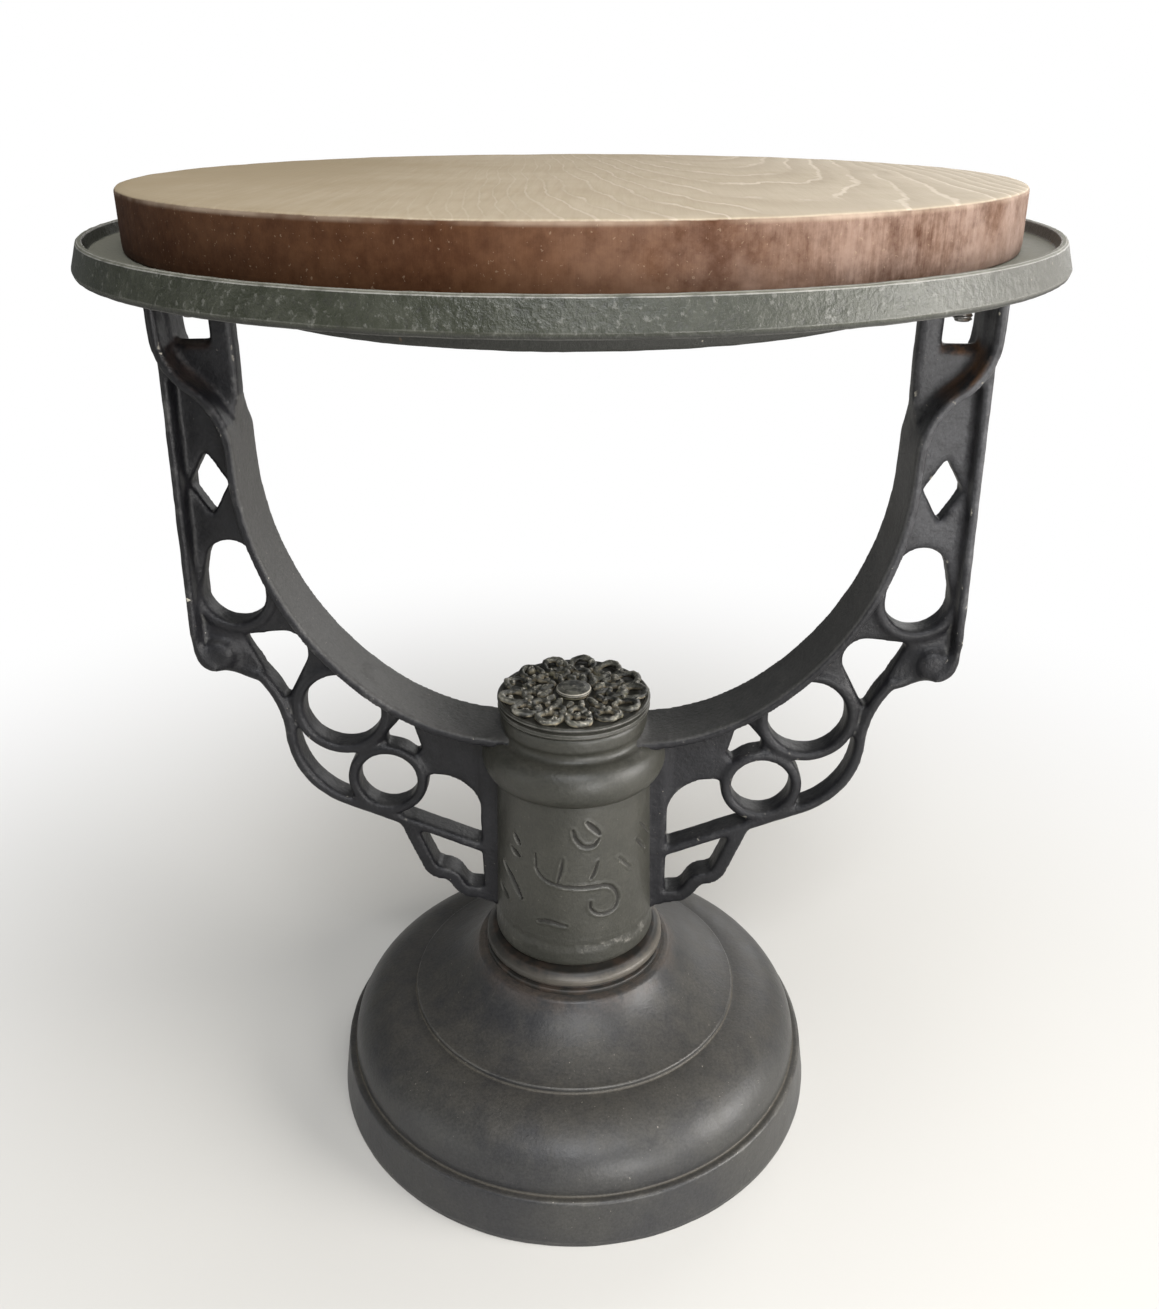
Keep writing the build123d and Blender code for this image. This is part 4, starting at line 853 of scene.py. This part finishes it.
class Recipe:
    """A Geometry Nodes tree with named sizes."""

    def __init__(self, name, sizes):
        self.tree = bpy.data.node_groups.new(name, "GeometryNodeTree")
        self.tree.interface.new_socket("Geometry", in_out="OUTPUT", socket_type="NodeSocketGeometry")
        self.sizes = sizes
        for label, value in sizes.items():
            kind = "NodeSocketInt" if isinstance(value, int) else "NodeSocketFloat"
            self.tree.interface.new_socket(label, in_out="INPUT", socket_type=kind).default_value = value
        self.given = self.tree.nodes.new("NodeGroupInput")

    def size(self, label):
        return self.given.outputs[label]

    def node(self, kind, inputs=None, output=0, **settings):
        made = self.tree.nodes.new(kind)
        for key, value in settings.items():
            setattr(made, key, value)
        for key, value in (inputs or {}).items():
            if isinstance(value, bpy.types.NodeSocket):
                self.tree.links.new(value, made.inputs[key])
            else:
                made.inputs[key].default_value = value
        return made.outputs[output]

    def drawn(self, lowest, highest):
        """A random value for each place."""
        inputs = {2: lowest, 3: highest, "Seed": self.size("Seed")}
        return self.node("FunctionNodeRandomValue", inputs, 1, data_type="FLOAT")

    def around(self, shape, count, circle, height, smallest, largest, loose):
        """The shape set out around the spindle, its own X axis about outward, in slightly different sizes."""
        number = self.size(count)
        places = self.node("GeometryNodeMeshCircle", {"Vertices": number, "Radius": self.size(circle)})
        lifted = self.node("GeometryNodeTransform", {"Geometry": places, "Translation": height})
        index = self.node("GeometryNodeInputIndex")
        turn = self.node("ShaderNodeMath", {0: 2 * math.pi, 1: number}, operation="DIVIDE")
        angle = self.node("ShaderNodeMath", {0: index, 1: turn}, operation="MULTIPLY")
        twist = self.drawn(-loose, loose)
        total = self.node("ShaderNodeMath", {0: angle, 1: twist}, operation="ADD")
        rotation = self.node("ShaderNodeCombineXYZ", {"Z": total})
        size = self.drawn(smallest, largest)
        return self.node(
            "GeometryNodeInstanceOnPoints",
            {"Points": lifted, "Instance": shape, "Rotation": rotation, "Scale": size},
        )

    def piece(self, name, shapes, finish):
        join = self.tree.nodes.new("GeometryNodeJoinGeometry")
        for shape in reversed(shapes):
            self.tree.links.new(shape, join.inputs[0])
        real = self.node("GeometryNodeRealizeInstances", {0: join.outputs[0]})
        done = self.node("GeometryNodeSetMaterial", {"Geometry": real, "Material": finish})
        smooth = self.node("GeometryNodeSetShadeSmooth", {0: done})
        out = self.tree.nodes.new("NodeGroupOutput")
        self.tree.links.new(smooth, out.inputs[0])
        made = bpy.data.objects.new(name, bpy.data.meshes.new(name))
        bpy.context.scene.collection.objects.link(made)
        modifier = made.modifiers.new("recipe", "NODES")
        modifier.node_group = self.tree
        for item in self.tree.interface.items_tree:
            if item.in_out == "INPUT":
                modifier[item.identifier] = self.sizes[item.name]
        return evaluated(made)


def make_rosette():
    """Openwork rosette: upturned loops round the edge, with volutes, leaves and crumbs inside them."""
    recipe = Recipe("rosette openwork", {
        "Loops": 13, "Loop Circle": 28.2 * MM, "Loop Radius": 5.4 * MM, "Wire Radius": 1.4 * MM,
        "Outer Beads": 12, "Bead Circle": 31.0 * MM, "Bead Radius": 2.0 * MM,
        "Volutes": 13, "Volute Circle": 20.3 * MM, "Volute Radius": 3.3 * MM, "Volute Wire": 1.35 * MM,
        "Crumbs": 30, "Crumb Circle": 24.6 * MM, "Crumb Radius": 1.7 * MM,
        "Leaves": 15, "Leaf Circle": 13.6 * MM, "Leaf Radius": 2.9 * MM,
        "Level": ROSETTE_TOP - 0.7 * MM, "Seed": 3,
    })
    level = recipe.node("ShaderNodeCombineXYZ", {"Z": recipe.size("Level")})

    def ring(points, radius):
        inputs = {"Resolution": points, "Radius": recipe.size(radius)}
        return recipe.node("GeometryNodeCurvePrimitiveCircle", inputs)

    def wire(line, radius):
        inputs = {"Curve": line, "Profile Curve": ring(10, radius), "Fill Caps": True}
        return recipe.node("GeometryNodeCurveToMesh", inputs)

    def ball(radius, shape=(1.0, 1.0, 1.0)):
        inputs = {"Segments": 16, "Rings": 10, "Radius": recipe.size(radius)}
        made = recipe.node("GeometryNodeMeshUVSphere", inputs)
        return recipe.node("GeometryNodeTransform", {"Geometry": made, "Scale": shape})

    circle = ring(28, "Loop Radius")
    loop = recipe.node(
        "GeometryNodeTransform",
        {"Geometry": wire(circle, "Wire Radius"), "Rotation": (0.0, -0.16, 0.0), "Scale": (1.15, 1.0, 1.0)},
    )
    arc = recipe.node(
        "GeometryNodeCurveArc",
        {"Resolution": 22, "Radius": recipe.size("Volute Radius"), "Start Angle": 0.0, "Sweep Angle": 4.9},
    )
    half = recipe.node("ShaderNodeMath", {0: math.pi, 1: recipe.size("Outer Beads")}, operation="DIVIDE")
    between = recipe.node("ShaderNodeCombineXYZ", {"Z": half})
    # Repeats around the spindle, each with its smallest and largest size, and how far it may turn
    beads = recipe.around(ball("Bead Radius"), "Outer Beads", "Bead Circle", level, 0.7, 1.15, 0.0)
    shapes = [
        recipe.around(loop, "Loops", "Loop Circle", level, 0.86, 1.08, 0.12),
        recipe.node("GeometryNodeTransform", {"Geometry": beads, "Rotation": between}),
        recipe.around(wire(arc, "Volute Wire"), "Volutes", "Volute Circle", level, 0.8, 1.15, 3.0),
        recipe.around(ball("Crumb Radius"), "Crumbs", "Crumb Circle", level, 0.5, 1.2, 0.0),
        recipe.around(ball("Leaf Radius", (1.25, 0.62, 0.6)), "Leaves", "Leaf Circle", level, 0.75, 1.2, 0.7),
    ]
    rosette = recipe.piece("openwork_rosette", shapes, ornament_dust)
    uneven(rosette, amount=0.5 * MM, size=2.4 * MM, seed=31.0)
    mark_edges(rosette, sharp=1.0 * MM, spread=0)
    settle(rosette, "stand", "dusty_iron", "rosette")


def make_button():
    head_r = 8.0 * MM
    seat, crown = ROSETTE_TOP - 1.6 * MM, ROSETTE_TOP + 2.2 * MM
    points = [
        (POLE, seat, 0), (head_r - 0.4 * MM, seat, 0.3 * MM), (head_r - 0.2 * MM, crown - 2.4 * MM, 0.5 * MM),
        (head_r + 0.6 * MM, crown - 1.8 * MM, 0.5 * MM), (head_r + 0.2 * MM, crown - 0.7 * MM, 0.7 * MM),
        (head_r - 2.5 * MM, crown, 1.2 * MM), (POLE_RING, crown + 0.2 * MM, 0), (POLE, crown + 0.2 * MM, 0),
    ]
    button = turned("cap_button", dense(rounded(points), spacing=1.2 * MM), ornament_dust, segments=96)
    uneven(button, amount=0.1 * MM, size=4 * MM, seed=41.0)
    mark_edges(button, sharp=1.2 * MM, spread=1)
    settle(button, "stand", "dusty_iron", "cap_screw")


# Pan, board and their fastenings
def make_pan():
    floor, under = BOARD_LOW, YOKE_TOP
    inner, dish_r, wall = BOARD_R + 12.0 * MM, 137.1 * MM, 6.0 * MM
    points = [
        (POLE, PAN_LOW, 0), (dish_r - 3.0 * MM, PAN_LOW, 2.5 * MM), (dish_r, under, 2.0 * MM),
        (PAN_R - 6.0 * MM, under, 1.0 * MM), (PAN_R - 3.2 * MM, under - 0.8 * MM, 0.8 * MM),
        (PAN_R - 0.6 * MM, under - 0.7 * MM, 0.8 * MM), (PAN_R, under + 1.2 * MM, 1.0 * MM),
        (inner + 3.4 * MM, PAN_RIM - 0.6 * MM, 0.8 * MM), (inner + 2.6 * MM, PAN_RIM, 0.7 * MM),
        (inner + 0.9 * MM, PAN_RIM, 0.8 * MM), (inner, floor, 1.2 * MM),
        (dish_r - wall, floor, 2.0 * MM), (dish_r - wall - 3.0 * MM, PAN_LOW + wall, 2.0 * MM),
        (POLE, PAN_LOW + wall, 0),
    ]
    pan = turned("round_pan", dense(rounded(points), spacing=2.6 * MM), graphite, segments=416)
    uneven(pan, amount=0.12 * MM, size=7 * MM, seed=51.0)
    mark_edges(pan, sharp=1.6 * MM, spread=1)
    settle(pan, "swivel", "grey_iron", "seat_pan")


def make_board():
    points = [
        (POLE, BOARD_LOW, 0), (POLE_RING, BOARD_LOW, 0), (BOARD_R - 0.3 * MM, BOARD_LOW, 1.2 * MM),
        (BOARD_R, BOARD_LOW + 3 * MM, 1.0 * MM), (BOARD_R - 0.2 * MM, BOARD_TOP - 0.3 * MM, 1.5 * MM),
        (BOARD_R - 4.0 * MM, BOARD_TOP, 2.0 * MM), (POLE_RING, BOARD_TOP, 0), (POLE, BOARD_TOP, 0),
    ]
    board = turned("seat_plank", dense(rounded(points, steps=8), spacing=3.0 * MM), board_wood, segments=448)
    uneven(board, amount=0.2 * MM, size=30 * MM, seed=61.0)
    mark_edges(board, sharp=3.0 * MM, spread=1)
    settle(board, "swivel", "stained_wood", "seat_board")


def make_bolts():
    """Two bolts with a cut thread, their ends below the nuts in the arms' windows."""
    pitch, shank, segments, rows = 1.6 * MM, 4.0 * MM, 40, 72
    root, thread_depth, chamfer, head = 1.2 * MM, 0.75 * MM, 0.8 * MM, 3.6 * MM
    thread_high = BOLT_LOW + 0.55 * (BOLT_TOP - BOLT_LOW)
    heights = np.linspace(BOLT_LOW, thread_high, rows)
    points, faces = [], []
    for side in (-1, 1):
        start = len(points)
        for k in range(segments):
            turn = 2 * math.pi * k / segments
            ring = [(0.0, BOLT_LOW)]
            for z in heights:
                phase = (z / pitch - k / segments) % 1.0
                taper = min(1.0, (z - BOLT_LOW) / chamfer)
                ring.append((shank - root + taper * (root - thread_depth * (1 - abs(2 * phase - 1))), z))
            ring += [
                (shank, thread_high + 0.4 * MM), (shank, BOLT_TOP - head), (BOLT_HEAD_R, BOLT_TOP - head),
                (BOLT_HEAD_R, BOLT_TOP), (0.0, BOLT_TOP),
            ]
            points += [(side * BOLT_X + r * math.cos(turn), r * math.sin(turn), z) for r, z in ring]
        faces += ring_faces(segments, len(ring), start, closed=False)
    bolts = outward(mesh_piece("threaded_bolts", points, faces, steel))
    mark_edges(bolts, sharp=1.0 * MM, spread=0)
    settle(bolts, "swivel", "plain_steel", "pan_bolts")


def dress_plain_nodes():
    """The hidden fastenings keep their solids."""
    for node in (
        "spindle", "spindle_washer", "spindle_nut", "thrust_washer", "retaining_washer", "retaining_nut",
        "pan_washers", "pan_nuts", "board_screws",
    ):
        NODES[node].data.materials.clear()
        NODES[node].data.materials.append(steel)


make_base()
make_bead()
make_hub()
make_arms()
make_cap()
make_rosette()
make_button()
make_pan()
make_board()
make_bolts()
dress_plain_nodes()


# Studio: pale floor that fades to white, a window light from the right, five weaker lamps
def make_floor():
    f = Finish("pale floor")
    far = f.node("VectorMath", {0: f.place}, output="Value", operation="LENGTH")
    fade = f.step(far, 0.16, 0.75)
    seen = f.node("LightPath", output="Is Camera Ray")
    mottle = f.noise(3.0, 3.0, 0.5)
    colour = f.tint(mottle, shade(0.6, 0.587, 0.557), shade(0.64, 0.627, 0.597))
    diffuse = f.node("BsdfDiffuse", {"Color": colour})
    white = f.node("Emission", {"Color": shade(1.0, 1.0, 1.0), "Strength": 1.0})
    mixed = f.node("MixShader", {0: fade * seen, 1: diffuse, 2: white})
    reach, count = 3.0, 96
    turns = [2 * math.pi * k / count for k in range(count)]
    rim = [(reach * math.cos(turn), reach * math.sin(turn), 0) for turn in turns]
    floor = mesh_piece("floor", rim, [tuple(range(count))], f.show(mixed))


def make_lamp(name, place, aim, size, power, colour):
    lamp = bpy.data.lights.new(name, "AREA")
    lamp.shape = "DISK"
    lamp.size = size
    lamp.energy = power
    lamp.color = colour
    holder = bpy.data.objects.new(name, lamp)
    holder.location = place
    holder.rotation_euler = (Vector(aim) - Vector(place)).to_track_quat("-Z", "Y").to_euler()
    bpy.context.scene.collection.objects.link(holder)


def make_world():
    world = bpy.data.worlds.new("studio")
    bpy.context.scene.world = world
    world.use_nodes = True
    tree = world.node_tree
    tree.nodes.clear()
    path = tree.nodes.new("ShaderNodeLightPath")
    either = tree.nodes.new("ShaderNodeMath")
    either.operation = "MAXIMUM"
    tree.links.new(path.outputs["Is Camera Ray"], either.inputs[0])
    tree.links.new(path.outputs["Is Transmission Ray"], either.inputs[1])
    room = tree.nodes.new("ShaderNodeBackground")
    room.inputs["Color"].default_value = shade(0.95, 0.98, 1.0)
    room.inputs["Strength"].default_value = 0.18
    white = tree.nodes.new("ShaderNodeBackground")
    white.inputs["Color"].default_value = shade(1.0, 1.0, 1.0)
    white.inputs["Strength"].default_value = 1.0
    mix = tree.nodes.new("ShaderNodeMixShader")
    out = tree.nodes.new("ShaderNodeOutputWorld")
    tree.links.new(either.outputs[0], mix.inputs[0])
    tree.links.new(room.outputs[0], mix.inputs[1])
    tree.links.new(white.outputs[0], mix.inputs[2])
    tree.links.new(mix.outputs[0], out.inputs["Surface"])


def make_camera():
    """The photograph's place: in front, a little to the right, looking down."""
    distance, height = 0.49808, 0.48847
    azimuth, pitch, turn = math.radians(2.2), math.radians(25.818), math.radians(0.318)
    data = bpy.data.cameras.new("photo camera")
    data.sensor_fit = "VERTICAL"
    data.sensor_height = 36.0
    data.lens = 32.19
    data.clip_start = 0.01
    camera = bpy.data.objects.new("photo camera", data)
    camera.location = (distance * math.sin(azimuth), -distance * math.cos(azimuth), height)
    camera.rotation_euler = (math.pi / 2 - pitch, 0.0, azimuth - turn)
    bpy.context.scene.collection.objects.link(camera)
    bpy.context.scene.camera = camera


make_floor()
make_world()
# Lamps: name, place, aim, size, power and colour
make_lamp("window light", (1.95, -0.6, 0.74), (0, 0, 0.28), 1.3, 58.0, (1.0, 0.975, 0.95))
make_lamp("ceiling light", (0.3, -0.5, 2.1), (0, 0, 0.3), 1.3, 12.0, (1.0, 0.985, 0.96))
make_lamp("low panel", (0.55, -1.2, 0.22), (0.1, 0, 0.32), 0.5, 11.0, (1.0, 0.99, 0.98))
make_lamp("front fill", (0.12, -1.25, 1.5), (0, 0, 0.12), 0.7, 21.0, (0.97, 0.98, 1.0))
make_lamp("left wall", (-1.35, -0.85, 0.3), (0, 0, 0.12), 1.0, 4.5, (1.0, 1.0, 0.96))
make_lamp("back wall", (0.95, 1.8, 0.9), (0, 0, 0.25), 1.4, 14.0, (1.0, 0.99, 0.97))
make_camera()
bpy.context.scene.view_settings.view_transform = "Standard"
